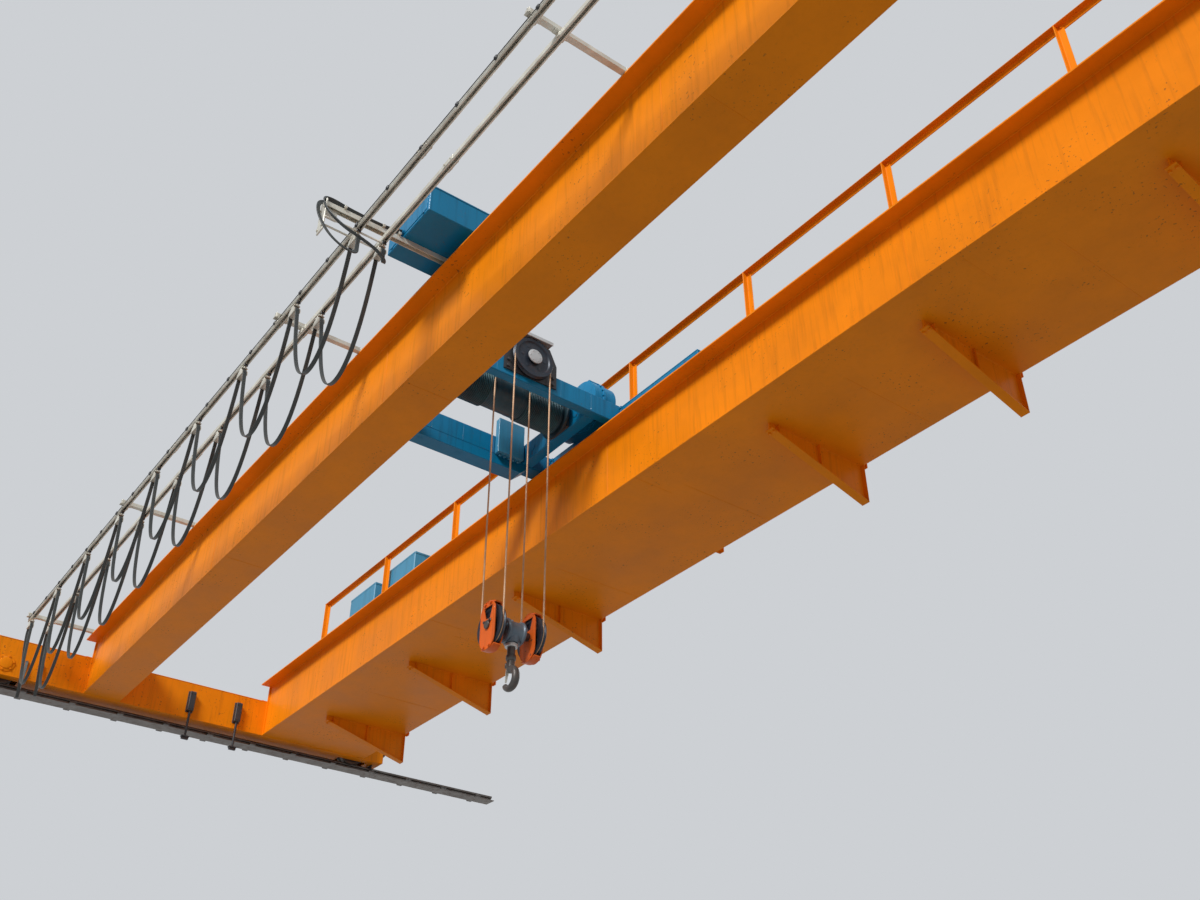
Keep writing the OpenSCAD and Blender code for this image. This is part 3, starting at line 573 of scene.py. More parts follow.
# Festoon cables: one loop from each saddle to the next, riding on the two carriers it hangs from
cableSettings = {
    "tracks": (-1.73, -1.915),
    "first": 0.43,        # place of the fixed clamp
    "pitch": 0.88,        # distance between carriers as drawn
    "saddleZ": 0.559,
    "saddleR": 0.0493,    # saddle, half the cable's thickness and 0.3 mm
    "deep": 0.76,         # how far a loop hangs below the saddles' centres
    "wide": 0.030,
    "thick": 0.008,
}


def flatCable(wide, thick, cores=5):
    # outline of a flat cable whose cores show as shallow waves on both sides
    u = np.linspace(-1, 1, cores * 4 + 1)
    edge = np.sqrt(np.clip(1 - np.maximum(abs(u) - 0.8, 0)**2 / 0.04, 0, 1))
    y = thick / 2 * edge * (0.93 + 0.07 * np.cos(u * math.pi * cores))
    top = np.column_stack([u * wide / 2, y])[::-1]
    return np.concatenate([top, np.column_stack([top[:, 0], -top[:, 1]])[::-1][1:-1]])


def hangingLoop(s):
    # half a saddle, a chain line z = a (cosh(x / a) - 1) - deep from saddle to saddle, half a saddle
    r, half = s["saddleR"], s["pitch"] / 2 - s["saddleR"]
    a = 0.16
    for _ in range(60):
        a -= (a * (math.cosh(half / a) - 1) - s["deep"]) / (
            math.cosh(half / a) - 1 - half / a * math.sinh(half / a))
    t = np.linspace(-1, 1, 73)
    t = np.arcsinh(t * math.sinh(half / a)) / (half / a)
    chain = np.column_stack([s["pitch"] / 2 + t * half, a * (np.cosh(t * half / a) - 1) - s["deep"]])
    turn = np.radians(np.arange(90, 5, -12))
    over = np.column_stack([r * np.cos(turn), r * np.sin(turn)])
    back = np.column_stack([s["pitch"] - over[:, 0], over[:, 1]])[::-1]
    return np.concatenate([over, chain, back])


def lengthOf(path):
    return float(np.linalg.norm(np.diff(np.asarray(path), axis=0), axis=1).sum())


def makeCables(s):
    loop = hangingLoop(s)
    outline = flatCable(s["wide"], s["thick"])
    for track, (y, cadCable) in enumerate(zip(s["tracks"], ("power_cable", "control_cable"))):
        for i in range(8):
            x = s["first"] + i * s["pitch"]
            path = np.column_stack([x + loop[:, 0], np.full(len(loop), y), s["saddleZ"] + loop[:, 1]])
            obj = piece(f"festoonLoop{'AB'[track]}{i + 1}", sweep(path, outline), None, "cable_sheath",
                        *[cadCable] * (i == 0), smooth=50)
            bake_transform(obj)
    print("festoon loops:", round(lengthOf(path), 3), "m each")


def makeTails(s):
    # cables on from the tow carrier round its arm to the switchgear box, and from the fixed clamp
    # down to the far end truck
    z, r, tow = s["saddleZ"], s["saddleR"], s["first"] + 8 * s["pitch"]
    outline = flatCable(s["wide"], s["thick"])
    turn = np.radians(np.arange(90, -1, -15))
    over = lambda x, y, side: [(x + side * r * math.cos(a), y, z + r * math.sin(a)) for a in turn]
    routes = {
        "towCableA": ("trolley", over(tow, -1.73, 1) + [
            (7.521, -1.73, 0.50), (7.548, -1.735, 0.435), (7.600, -1.76, 0.415), (7.640, -1.84, 0.425),
            (7.650, -1.95, 0.450), (7.630, -2.06, 0.500), (7.590, -2.140, 0.590), (7.545, -2.176, 0.690),
            (7.505, -2.170, 0.780), (7.489, -2.110, 0.812), (7.487, -1.990, 0.803), (7.487, -1.850, 0.799),
            (7.487, -1.720, 0.803), (7.487, -1.640, 0.822), (7.487, -1.592, 0.835)]),
        "towCableB": ("trolley", over(tow, -1.915, 1) + [
            (7.521, -1.915, 0.50), (7.536, -1.925, 0.435), (7.556, -1.975, 0.400), (7.562, -2.050, 0.410),
            (7.550, -2.125, 0.470), (7.525, -2.178, 0.570), (7.490, -2.196, 0.680), (7.462, -2.180, 0.775),
            (7.452, -2.110, 0.812), (7.452, -1.990, 0.803), (7.452, -1.850, 0.799),
            (7.452, -1.720, 0.803), (7.452, -1.640, 0.822), (7.452, -1.592, 0.835)]),
        "feedCableA": ("bridge", over(s["first"], -1.73, -1) + [
            (0.378, -1.73, 0.48), (0.366, -1.72, 0.33), (0.350, -1.70, 0.14), (0.325, -1.68, -0.01),
            (0.280, -1.665, -0.08), (0.235, -1.655, -0.01), (0.215, -1.65, 0.12), (0.208, -1.65, 0.22),
            (0.198, -1.65, 0.275), (0.184, -1.65, 0.30)]),
        "feedCableB": ("bridge", over(s["first"], -1.915, -1) + [
            (0.379, -1.915, 0.48), (0.380, -1.90, 0.33), (0.372, -1.87, 0.14), (0.345, -1.845, -0.06),
            (0.290, -1.83, -0.14), (0.240, -1.82, -0.05), (0.218, -1.815, 0.10), (0.208, -1.81, 0.21),
            (0.198, -1.81, 0.275), (0.184, -1.81, 0.30)]),
    }
    for name, (body, points) in routes.items():
        path = smoothLine(points, 90)
        obj = piece(name, sweep(path, outline), body, "cable_sheath", smooth=50)


makeCables(cableSettings)
makeTails(cableSettings)
print("cables made")


# Hoist ropes: six strands round a core, from the block up to the drum and the upper sheave
middle = 6.56     # place of the trolley's centre as drawn
ropeSettings = {
    "radius": 0.007,
    "lay": 0.11,         # length in which a strand goes round once
    "out": 0.14,         # falls beside the trolley's centre line
    "side": 0.165,
    "blockZ": -1.29,
    "drumZ": 0.919,
    "sheaveZ": 1.019,
    "sheaveX": 6.70,
}


def ropeOutline(radius):
    a = np.arange(24) * math.pi / 12
    return np.column_stack([np.cos(a), np.sin(a)]) * (radius * (0.88 + 0.12 * abs(np.cos(3 * a))))[:, None]


def ropeAlong(path, s, across=(0, 1, 0)):
    gone = np.concatenate([[0], np.cumsum(np.linalg.norm(np.diff(path, axis=0), axis=1))])
    return sweep(path, ropeOutline(s["radius"]), across, turn=gone * 2 * math.pi / s["lay"])


def makeRopes(s):
    top = {-1: s["drumZ"], 1: s["sheaveZ"]}
    for x in (-1, 1):
        for y in (-1, 1):
            z = np.linspace(s["blockZ"], top[x], 170)
            path = np.column_stack([np.full(170, middle + x * s["out"]), np.full(170, y * s["side"]), z])
            name = f"ropeFall{'Far' if x < 0 else 'Near'}{'Left' if y < 0 else 'Right'}"
            obj = piece(name, ropeAlong(path, s), None, "zinc", look=ropeLook,
                        *["hoist_ropes"] * (x == y == -1), smooth=60)
            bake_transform(obj)
    a = np.linspace(0, math.pi, 60)
    under = np.column_stack([middle - s["out"] * np.cos(a), 0 * a, s["blockZ"] - s["out"] * np.sin(a)])
    piece("ropeUnderBlock", bothSides(moved(ropeAlong(under, s), (0, s["side"], 0))), "hook_block",
          "zinc", look=ropeLook, smooth=60)
    over = np.column_stack([np.full(60, s["sheaveX"]), -s["side"] * np.cos(a),
                            s["sheaveZ"] + s["side"] * np.sin(a)])
    piece("ropeOverSheave", ropeAlong(over, s, (1, 0, 0)), "trolley", "zinc", look=ropeLook, smooth=60)


makeRopes(ropeSettings)

drumSettings = {
    "x": 6.265,
    "z": 0.919,
    "barrel": 0.1475,
    "flange": 0.190,
    "half": 0.540,
    "flangeWide": 0.020,
    "shaft": 0.040,
    "shaftEnd": 0.589,
    "pitch": 0.016,
    "rope": 0.155,
    "inner": 0.165,      # rope wound from here out to its clamps
    "turns": 20,
}


def makeDrum(s):
    # grooves: r = barrel - 3 mm (1 - |sin(pi y / pitch)|), one for each turn
    y = np.arange(-0.516, 0.5161, s["pitch"] / 4)
    groove = s["barrel"] - 0.003 * (1 - abs(np.sin(math.pi * (y - s["inner"]) / s["pitch"])))
    groove = np.where(abs(y) < 0.10, s["barrel"], groove)
    w, h, f = s["flangeWide"], s["half"], s["flange"]
    profile = [(s["shaft"], -s["shaftEnd"]), (s["shaft"], -h), (f - 0.003, -h), (f, -h + 0.003),
               (f, -h + w - 0.003), (f - 0.003, -h + w)]
    profile = profile + [(r, q) for r, q in zip(groove, y)] + [(r, -q) for r, q in profile[::-1]]
    parts = [placed(lathe(profile, 64), [(s["x"], 0, s["z"])], alongYAxes)]
    # bolts that hold the hub on both flanges
    a = np.arange(12) * math.pi / 6
    ring = np.column_stack([s["x"] + 0.085 * np.cos(a), np.full(12, h), s["z"] + 0.085 * np.sin(a)])
    parts.append(bothSides(bolts((0.019, 0.008, 0.024), ring, alongYAxes)))
    # the drum's dark teal look is blue paint with painted shade
    piece("ropeDrum", parts, "drum", "rail_steel", "rope_drum", look=drumLook, smooth=40)
    # one rope on each half, wound from the fall out to its clamp, angles counted from the fall
    turn = np.linspace(0, s["turns"] * 2 * math.pi, s["turns"] * 40)
    path = np.column_stack([s["x"] + s["rope"] * np.cos(turn),
                            s["inner"] + s["pitch"] * turn / (2 * math.pi),
                            s["z"] + s["rope"] * np.sin(turn)])
    wound = sweep(path, circle(ropeSettings["radius"], 10), (0, 1, 0))
    clamps = [placed(bar((-0.02, -0.012, -0.001), (0.02, 0.012, 0.014), 0.003),
                     [(s["x"] + s["barrel"] * math.cos(b), 0.492, s["z"] + s["barrel"] * math.sin(b))],
                     [(-math.sin(b), 0, math.cos(b)), (0, -1, 0), (math.cos(b), 0, math.sin(b))])
              for b in (0.5, 1.4, 2.3)]
    # the wound rope's dark, blue-tinted look is painted shade
    piece("ropeOnDrum", bothSides(wound), "drum", "zinc", look=shadedDrumRope, smooth=60)
    piece("ropeClamps", bothSides(clamps), "drum", "zinc", look=paleLook)


makeDrum(drumSettings)
print("ropes and drum made")


# Hook block: housing, two sheaves, straps with their bridges, hook with nut and latch
blockSettings = {
    "z": -1.29,
    "side": 0.165,
    "pitchR": 0.140,
    "rim": 0.155,
    "wide": 0.044,
    "axle": 0.030,
    "housing": 0.088,
    "half": 0.075,
    "strap": (0.193, 0.199),    # faces of the outer strap
    "strapIn": (0.131, 0.137),  # faces of the inner strap
    "guard": 0.181,
    "strapWide": 0.180,
    "window": ((-0.026, 0.048), (0.026, 0.048), (0.056, 0.138), (-0.056, 0.138)),   # over the axle
    "hookZ": -1.630,
    "hookR": 0.066,
    "hookS": 0.028,
    "tip": 40,
}


def sheaveProfile(pitchR, rim, wide, rope, hub, bore):
    # rim with a round groove for the rope, a thinner web and a hub, turned about its axle
    g = np.radians(np.linspace(150, 30, 7) + 180)
    bed = pitchR + rope * 1.06 * np.sin(g)
    at = rope * 1.15 * np.cos(g)
    h, w = wide / 2, wide * 0.17
    upper = [(bore, -h), (hub, -h), (hub, -w), (pitchR - 0.026, -w), (pitchR - 0.016, -h + 0.004),
             (rim - 0.003, -h + 0.002), (rim, -h + 0.006), (rim, -rope * 1.9)]
    lower = [(r, -q) for r, q in upper[::-1]]
    return upper + list(zip(bed, at)) + lower


def stadium(wide, high, steps=16):
    # outline with two round ends above and below
    r, a = wide / 2, np.linspace(0, math.pi, steps)
    top = np.column_stack([r * np.cos(a), high - r + r * np.sin(a)])
    return np.concatenate([top, -top])


def rayReach(outline, centre, a):
    # how far a ray at each angle a runs from centre to a convex outline drawn against the clock:
    # the least of n . (p - centre) / n . ray over the edges (through p, normal n) that face the ray
    o = np.asarray(outline, float) - centre
    d = np.roll(o, -1, 0) - o
    n = np.column_stack([d[:, 1], -d[:, 0]])
    facing = n @ np.stack([np.cos(a), np.sin(a)])
    return np.nanmin((n * o).sum(1)[:, None] / np.where(facing > 1e-9, facing, np.nan), 0)


def makeBlock(s):
    cz = s["z"]
    centre = [(middle, 0, cz)]
    h, r = s["half"], s["housing"]
    # housing: a turned barrel with raised rims and a waist between them
    body = [(0.034, -h), (r - 0.010, -h), (r, -h + 0.010), (r, -h + 0.022), (r - 0.008, -h + 0.030),
            (r - 0.012, -0.02), (r - 0.012, 0.02), (r - 0.008, h - 0.030), (r, h - 0.022), (r, h - 0.010),
            (r - 0.010, h), (0.034, h)]
    parts = [placed(lathe(body, 48), centre, alongYAxes)]
    # lower boss that takes the hook's shank, with two ribs
    boss = [(0.030, -0.0877), (0.056, -0.0860), (0.060, -0.0740), (0.062, -0.0550), (0.068, -0.0300)]
    parts.append(placed(lathe(boss, 40), centre))
    a = np.radians([20, 65, 115, 160])
    ring = spread(middle + 0.060 * np.cos(a), h, cz + 0.060 * np.sin(a))
    parts.append(bothSides(bolts((0.024, 0.011, 0.030), ring, alongYAxes)))
    parts.append(placed(lathe([(0.006, 0), (0.008, 0.003), (0.008, 0.014), (0.004, 0.020)], 12),
                        [(middle, 0, cz + r - 0.012)]))
    piece("blockHousing", parts, "hook_block", "block_steel", "block_housing")
    # axle ends with keeper plates outside the straps
    end = s["strap"][1]
    axle = [rod((middle, -end - 0.014, cz), (middle, end + 0.014, cz), s["axle"], 32, 0.002)]
    for y in (-1, 1):
        axle.append(bar((middle - 0.045, y * end, cz + 0.018),
                        (middle + 0.045, y * (end + 0.007), cz + 0.036), 0.002))
        axle.append(bolts((0.016, 0.006, 0.020), [(middle - 0.034, y * (end + 0.006), cz + 0.027),
                           (middle + 0.034, y * (end + 0.006), cz + 0.027)], outward(y)))
    piece("blockAxle", axle, "hook_block", "block_steel", look=materials["forged_steel"])
    sheave = placed(lathe(sheaveProfile(s["pitchR"], s["rim"], s["wide"], 0.007, 0.052, 0.0305), 72),
                    [(middle, s["side"], cz)], alongYAxes)
    a = np.radians(np.arange(6) * 60 + 30)
    lugs = placed(lathe([(0.010, -0.010), (0.013, -0.0085), (0.013, 0.0085), (0.010, 0.010)], 16),
                  spread(middle + 0.085 * np.cos(a), s["side"], cz + 0.085 * np.sin(a)), alongYAxes)
    piece("blockSheaves", bothSides([sheave, lugs]), "block_sheave_pair",
          "rail_steel", "block_sheaves", look=sheaveLook, smooth=40)
    # guard: two straps with round ends, joined by curved bridges over and under the sheave
    parts = []
    outline = stadium(s["strapWide"], s["guard"])
    a = np.arange(80) * math.pi / 40
    heart, ray = np.array([0, 0.095]), np.column_stack([np.cos(a), np.sin(a)])
    outer, inner = [heart + ray * rayReach(o, heart, a)[:, None] for o in (outline, s["window"])]
    for y0, y1 in (s["strap"], s["strapIn"]):
        p = np.array([np.column_stack([middle + q[:, 0], np.full(80, y), cz + q[:, 1]])
                      for q, y in ((outer, y1), (outer, y0), (inner, y0), (inner, y1))])
        parts.append(gridPart(p, closeU=True))
        rim = np.column_stack([middle + outline[:, 0] * 0.985,
                               np.full(len(outline), y1 if y0 > 0.165 else y0),
                               cz + outline[:, 1] * 0.985])
        parts.append(tube(np.concatenate([rim, rim[:2]]), 0.003, 6))
    lo, hi = s["strapIn"][1], s["strap"][0]
    for up in (-1, 1):
        a = np.radians(np.linspace(-27, 27, 15))
        r0, r1 = 0.1705, 0.1790
        inner = np.column_stack([middle + r0 * np.sin(a), cz + up * r0 * np.cos(a)])
        outer = np.column_stack([middle + r1 * np.sin(a), cz + up * r1 * np.cos(a)])
        loop = np.concatenate([inner, outer[::-1]])
        if up < 0:
            loop = loop[::-1]
        p = np.stack([np.column_stack([loop[:, 0], np.full(len(loop), y), loop[:, 1]]) for y in (hi, lo)])
        parts.append(gridPart(p))
        spots = [(middle + x, s["strap"][1], cz + up * 0.158) for x in (-0.034, 0.034)]
        parts.append(bolts((0.019, 0.009, 0.024), spots, alongYAxes))
    piece("sheaveGuards", bothSides(parts), "hook_block", "guard_paint", "sheave_guards", smooth=30)


def makeHook(s):
    cx, cz, R, S = middle, s["hookZ"], s["hookR"], s["hookS"]
    # shank straight down, then the bowl on the near side and round to the tip: section wider inside
    ang = np.radians(np.linspace(90, -180 + s["tip"] - 2, 56))
    bowl = np.column_stack([cx + R * np.cos(ang), np.zeros(len(ang)), cz + R * np.sin(ang)])
    straight = np.column_stack([np.full(8, cx), np.zeros(8),
                                np.linspace(s["z"] - s["housing"] - 0.0003, cz + R + 0.004, 8)])
    path = np.concatenate([straight, bowl[1:]])
    n, k = len(path), len(straight)
    grow = np.ones(n)
    grow[k:] = 1 - 0.30 * np.clip((np.degrees(-ang[1:]) - 40) / 110, 0, 1)**1.5
    rings = []
    t = np.gradient(path, axis=0)
    t /= np.linalg.norm(t, axis=1)[:, None]
    a = np.arange(28) * 2 * math.pi / 28
    for i in range(n):
        side = np.array([0, 1, 0])
        out = np.cross(side, t[i])
        mix = np.clip((i - k) / 14, 0, 1)
        # in the bowl the section is pinched outward: width (1 - 0.22 sin) across Y
        w = S * grow[i] * (1 - mix * 0.20 * np.sin(a)) * (1 - 0.04 * mix)
        h = S * grow[i] * np.ones(28)
        rings.append(path[i] + np.outer(w * np.cos(a), side) + np.outer(h * np.sin(a), out))
    for sc, go in ((0.86, 0.35), (0.55, 0.62), (0.2, 0.74)):
        c = path[-1] + t[-1] * S * go
        rings.append(c + (rings[n - 1] - path[-1]) * sc)
    hook = gridPart(np.array(rings)[:, ::-1])
    top = s["z"] - s["housing"] - 0.0003
    # collar above the bowl, and the latch's ears
    collar = placed(lathe([(0.0275, -0.104), (0.034, -0.098), (0.036, -0.082), (0.034, -0.066),
                           (0.0285, -0.058)], 36),
                    [(cx, 0, top - 0.02)])
    ears = [bar((cx - 0.044, y - 0.004, cz + 0.084), (cx - 0.020, y + 0.004, cz + 0.120), 0.003)
            for y in (-0.015, 0.015)]
    piece("hookForging", [hook, collar] + ears, "hook_body", "forged_steel", "hook", smooth=50)
    # round nut under the housing with spanner slots, and its grease nipple
    nut = [(0.030, -0.026), (0.042, -0.026), (0.046, -0.022), (0.046, -0.004), (0.042, 0.0), (0.030, 0.0)]
    parts = [placed(lathe(nut, 48), [(cx, 0, top)])]
    a = np.radians([0, 90, 180, 270])
    parts += [rod((cx + 0.0455 * math.cos(b), 0.0455 * math.sin(b), top - 0.013),
                  (cx + 0.0475 * math.cos(b), 0.0475 * math.sin(b), top - 0.013), 0.006, 12) for b in a]
    piece("hookNut", parts, "hook_body", "block_steel", look=paleLook)
    # latch: a bent plate from the ears down to the tip, a pin and a spring round it
    tipAngle = math.radians(s["tip"])
    tipX, tipZ = cx - R * math.cos(tipAngle), cz - R * math.sin(tipAngle) + S - 0.001
    a, b = np.array([cx - 0.030, cz + 0.108]), np.array([tipX - 0.001, tipZ + 0.004])
    d = unit(b - a)
    side = np.array([d[1], -d[0]])
    lines = [a - d * 0.004, a + d * 0.03, b - d * 0.03, b]
    half = [0.009, 0.009, 0.008, 0.005]
    thick = 0.0035
    p = np.array([[[q[0] + side[0] * e, y * w, q[1] + side[1] * e] for y,
                   e in ((-1, -thick), (1, -thick), (1, thick), (-1, thick))]
                  for q, w in zip(lines, half)])
    latch = gridPart(p[:, ::-1])
    wings = [placed(bar((0, -0.0015, -0.005), (0.075, 0.0015, 0.005), 0.001), [(a[0], y, a[1])],
                    [(d[0], 0, d[1]), (0, 1, 0), (-d[1], 0, d[0])]) for y in (-0.0085, 0.0085)]
    pin = rod((a[0], -0.022, a[1]), (a[0], 0.022, a[1]), 0.005, 14, 0.001)
    turn = np.linspace(0, 5 * 2 * math.pi, 100)
    spring = tube(np.column_stack([a[0] + 0.0075 * np.cos(turn), np.linspace(-0.007, 0.007, 100),
                                   a[1] + 0.0075 * np.sin(turn)]), 0.0012, 6)
    piece("hookLatch", [latch, pin, spring] + wings, "hook_body", "zinc", "hook_latch")


makeBlock(blockSettings)
makeHook(blockSettings)
print("hook block made")


# An electric motor along z from its flange at 0 to its fan cowl: flange, finned body, shields,
# cowl, terminal box
def motorParts(long, radius, fins=30, box=True):
    r, cowl = radius, long * 0.22
    shell = r * 0.86
    body = [(r * 0.60, 0), (r * 0.97, 0.001), (r * 0.97, 0.016), (r * 0.90, 0.018), (r * 0.88, long * 0.10),
            (shell, long * 0.12), (shell, long - cowl - 0.006), (r * 0.90, long - cowl - 0.004)]
    parts = [lathe(body, 48)]
    z0, z1 = long * 0.14, long - cowl - 0.012
    a = np.arange(fins) * 2 * math.pi / fins
    fin = bar((shell - 0.003, -0.0018, z0), (r * 0.975, 0.0018, z1), 0.001)
    parts += [placed(fin, [(0, 0, 0)], [(math.cos(b), math.sin(b), 0), (-math.sin(b), math.cos(b), 0),
                                        (0, 0, 1)])
              for b in a]
    cover = [(r * 0.90, long - cowl - 0.004), (r * 0.985, long - cowl), (r * 0.985, long - r * 0.16),
             (r * 0.95, long - r * 0.06), (r * 0.86, long - 0.0015), (r * 0.80, long - 0.0015)]
    rings = np.arange(0.72, 0.16, -0.12) * r
    for q in rings:
        cover += [(q + r * 0.03, long - 0.0015), (q + r * 0.03, long - 0.006), (q - r * 0.02, long - 0.006),
                  (q - r * 0.02, long - 0.0015)]
    cover.append((r * 0.06, long - 0.0015))
    parts.append(lathe(cover, 48))
    b = np.radians([45, 135, 225, 315])
    parts.append(placed(hexBolt(r * 0.13, r * 0.06, r * 0.17),
                        np.column_stack([r * 0.80 * np.cos(b), r * 0.80 * np.sin(b),
                                         np.full(4, long * 0.105)])))
    if box:
        m, w = (z0 + z1) / 2, r * 0.48
        parts.append(bar((-w, shell * 0.9, m - w * 1.1), (w, r * 1.22, m + w * 1.1), r * 0.05))
        parts.append(bar((-w * 1.06, r * 1.22, m - w * 1.16), (w * 1.06, r * 1.28, m + w * 1.16), r * 0.03))
        spots = [(x * w * 0.9, r * 1.28, m + z * w) for x in (-1, 1) for z in (-1, 1)]
        parts.append(bolts((r * 0.07, r * 0.03, r * 0.09), spots, alongYAxes))
        parts.append(placed(lathe([(r * 0.10, 0), (r * 0.14, 0.004), (r * 0.14, r * 0.20),
                                   (r * 0.08, r * 0.24)], 14),
                            [(w * 0.97, r * 1.02, m)], alongXAxes))
    return merged(parts)


# Trolley: side frames, beams, wheels and travel drives
trolleySettings = {
    "gauge": 1.0,
    "frame": (-1.050, 1.050, 0.090, 0.754, 0.974),   # local X from, to, half width, Z from, to
    "axles": 0.800,
    "axleZ": 0.8293,
    "wheelR": 0.100,
    "beams": ((-1.025, -0.875), (0.020, 0.100)),     # local X of the far and the near cross beam
    "beam": (0.910, 0.790, 0.970),                   # half length, Z from, to
    "belly": (0.680, 0.700),
    "long": (0.640, 0.050, -0.875, 0.020),
    "drive": (0.090, 0.048, 0.230, 0.020),           # case's depth, motor's radius, length and lift
    "bearing": (-0.295, 0.570, 0.919),               # middle of the boss
    "terminals": (-0.875, -0.815, 0.310, 0.570, 0.784, 1.130),
}


def makeTrolley(s):
    x0, x1, half, z0, z1 = s["frame"]
    y = s["gauge"]
    at = lambda x, yy, z: (middle + x, yy, z)
    # side frame: welded box open below, with a rim round its open side and blocks over the axles
    parts = [bar(at(x0, y - half, z1 - 0.012), at(x1, y + half, z1), 0.003)]
    for side in (-1, 1):
        parts.append(bar(at(x0 + 0.006, y + side * (half - 0.002), z0 + 0.001),
                         at(x1 - 0.006, y + side * (half - 0.012), z1 - 0.010), 0.002))
    for x, inside in ((x0 + 0.001, x0 + 0.012), (x1 - 0.001, x1 - 0.012)):
        parts.append(bar(at(x, y - half + 0.001, z0), at(inside, y + half - 0.001, z1 - 0.010), 0.002))
    for x in (-0.45, 0.0, 0.45):
        parts.append(bar(at(x - 0.005, y - half + 0.01, z0 + 0.02),
                         at(x + 0.005, y + half - 0.01, z1 - 0.01), 0.001))
    for x in (-s["axles"], s["axles"]):
        for side in (-1, 1):
            face = y + side * half
            axes = outward(side)
            if side < 0 or x > 0:
                parts.append(placed(lathe([(0.075, -0.010), (0.078, -0.006), (0.078, 0.004), (0.060, 0.006),
                                           (0.058, 0.013),
                                           (0.050, 0.015)], 36), [at(x, face, s["axleZ"])], axes))
                parts.append(ringBolts(at(x, face + side * 0.003, s["axleZ"]), 0.068, 6, axes,
                                       (0.013, 0.006, 0.016), 0.5))
        for side in (-1, 1):
            edge = y + side * (half - 0.012)
            parts.append(rod(at(x - 0.12, edge, z0 + 0.004), at(x + 0.12, edge, z0 + 0.004), 0.003, 8))
    # an eye for lifting on a small boss near each end
    for x in (x0 + 0.16, x1 - 0.16):
        eye = [(0.010, 0), (0.013, 0.004), (0.013, 0.012)]
        parts.append(placed(lathe(eye, 16), [at(x, y, z1 - 0.001)]))
        a = np.linspace(0, 2 * math.pi, 25)
        parts.append(tube(spread(middle + x + 0.022 * np.cos(a), y, z1 + 0.034 + 0.022 * np.sin(a)),
                          0.006, 8))
    piece("trolleySideFrames", bothSides(parts), "trolley", "blue_paint", "trolley_side_frames")
    # cross beams and long beams: boxes with beads on their edges, end plates and the far one's belly
    w, b0, b1 = s["beam"]
    parts = []
    for xa, xb in s["beams"]:
        x, h = (xa + xb) / 2, (xb - xa) / 2
        parts.append(bar(at(xa, -w + 0.002, b0), at(xb, w - 0.002, b1), 0.006))
        for yy in (-w, w):
            side = math.copysign(1, yy)
            parts.append(bar(at(x - h - 0.012, yy - side * 0.014, b0 - 0.010),
                             at(x + h + 0.012, yy, b1 + 0.002), 0.002))
            for z in (b0 + 0.02, b1 - 0.024):
                for sx in (-1, 1):
                    parts.append(bolts((0.016, 0.008, 0.020),
                                       [at(x + sx * (h + 0.004), yy - side * 0.014, z)],
                                        outward(-side)))
        parts += [boxBeads(at(x - h + 0.008, -w + 0.02, b0 + 0.001),
                           at(x + h - 0.008, w - 0.02, b1 - 0.001), 1, 0.003)]
        for yy in np.arange(-0.6, 0.61, 0.3):
            parts.append(bar(at(x - h - 0.0015, yy - 0.002, b0 + 0.01),
                             at(x + h + 0.0015, yy + 0.002, b1 - 0.01), 0.001))
    xa, xb = s["beams"][0]
    x, h = (xa + xb) / 2, (xb - xa) / 2
    w, low = s["belly"]
    outline = [(-w, b0), (-w + 0.10, low), (w - 0.10, low), (w, b0)]
    p = np.array([[at(xx, yy, z) for yy, z in outline[::-1]] for xx in (x - h, x + h)])
    parts.append(gridPart(p[::-1]))
    parts.append(tube([at(x - h + 0.004, yy, z) for yy,
                       z in [(-w + 0.10, low + 0.002), (w - 0.10, low + 0.002)]], 0.004, 8))
    parts.append(tube([at(x + h - 0.004, yy, z) for yy,
                       z in [(-w + 0.10, low + 0.002), (w - 0.10, low + 0.002)]], 0.004, 8))
    for yy in (-0.36, 0, 0.36):
        parts.append(placed(lathe([(0.024, 0.0), (0.028, 0.002)], 20), [at(x, yy, low)], downAxes))
    piece("trolleyCrossBeams", parts, "trolley", "blue_paint", "trolley_cross_beams")
    yy, h, xa, xb = s["long"]
    parts = [bar(at(xa, yy - h, b0), at(xb, yy + h, b1), 0.005),
             boxBeads(at(xa + 0.01, yy - h + 0.006, b0 + 0.001), at(xb - 0.01, yy + h - 0.006, b1 - 0.001),
                      0, 0.003)]
    for x in (-0.72, -0.47, -0.1):
        parts.append(placed(lathe([(0.030, 0), (0.034, 0.003), (0.034, 0.0035)], 24),
                            [at(x, yy - h, (b0 + b1) / 2)], backYAxes))
        parts.append(bar(at(x - 0.06, yy - h - 0.001, b0 + 0.012),
                         at(x - 0.052, yy + h + 0.001, b1 - 0.012), 0.001))
    piece("trolleyLongBeams", bothSides(parts), "trolley", "blue_paint", "trolley_long_beams")
    # wheels: tread, two flanges, dished web, hub and axle
    R = s["wheelR"]
    prof = [(0.025, -0.0897), (0.025, -0.050), (0.050, -0.048), (0.050, -0.030), (R - 0.030, -0.026),
            (R - 0.018, -0.044),
            (R + 0.012, -0.044), (R + 0.015, -0.041), (R + 0.014, -0.034), (R, -0.030)]
    prof = mirrored(prof)
    wheels = placed(lathe(prof, 56), [at(x, y, s["axleZ"]) for x in (-s["axles"], s["axles"])], alongYAxes)
    piece("trolleyWheels", bothSides(wheels), "trolley", "rail_steel", "trolley_wheels")
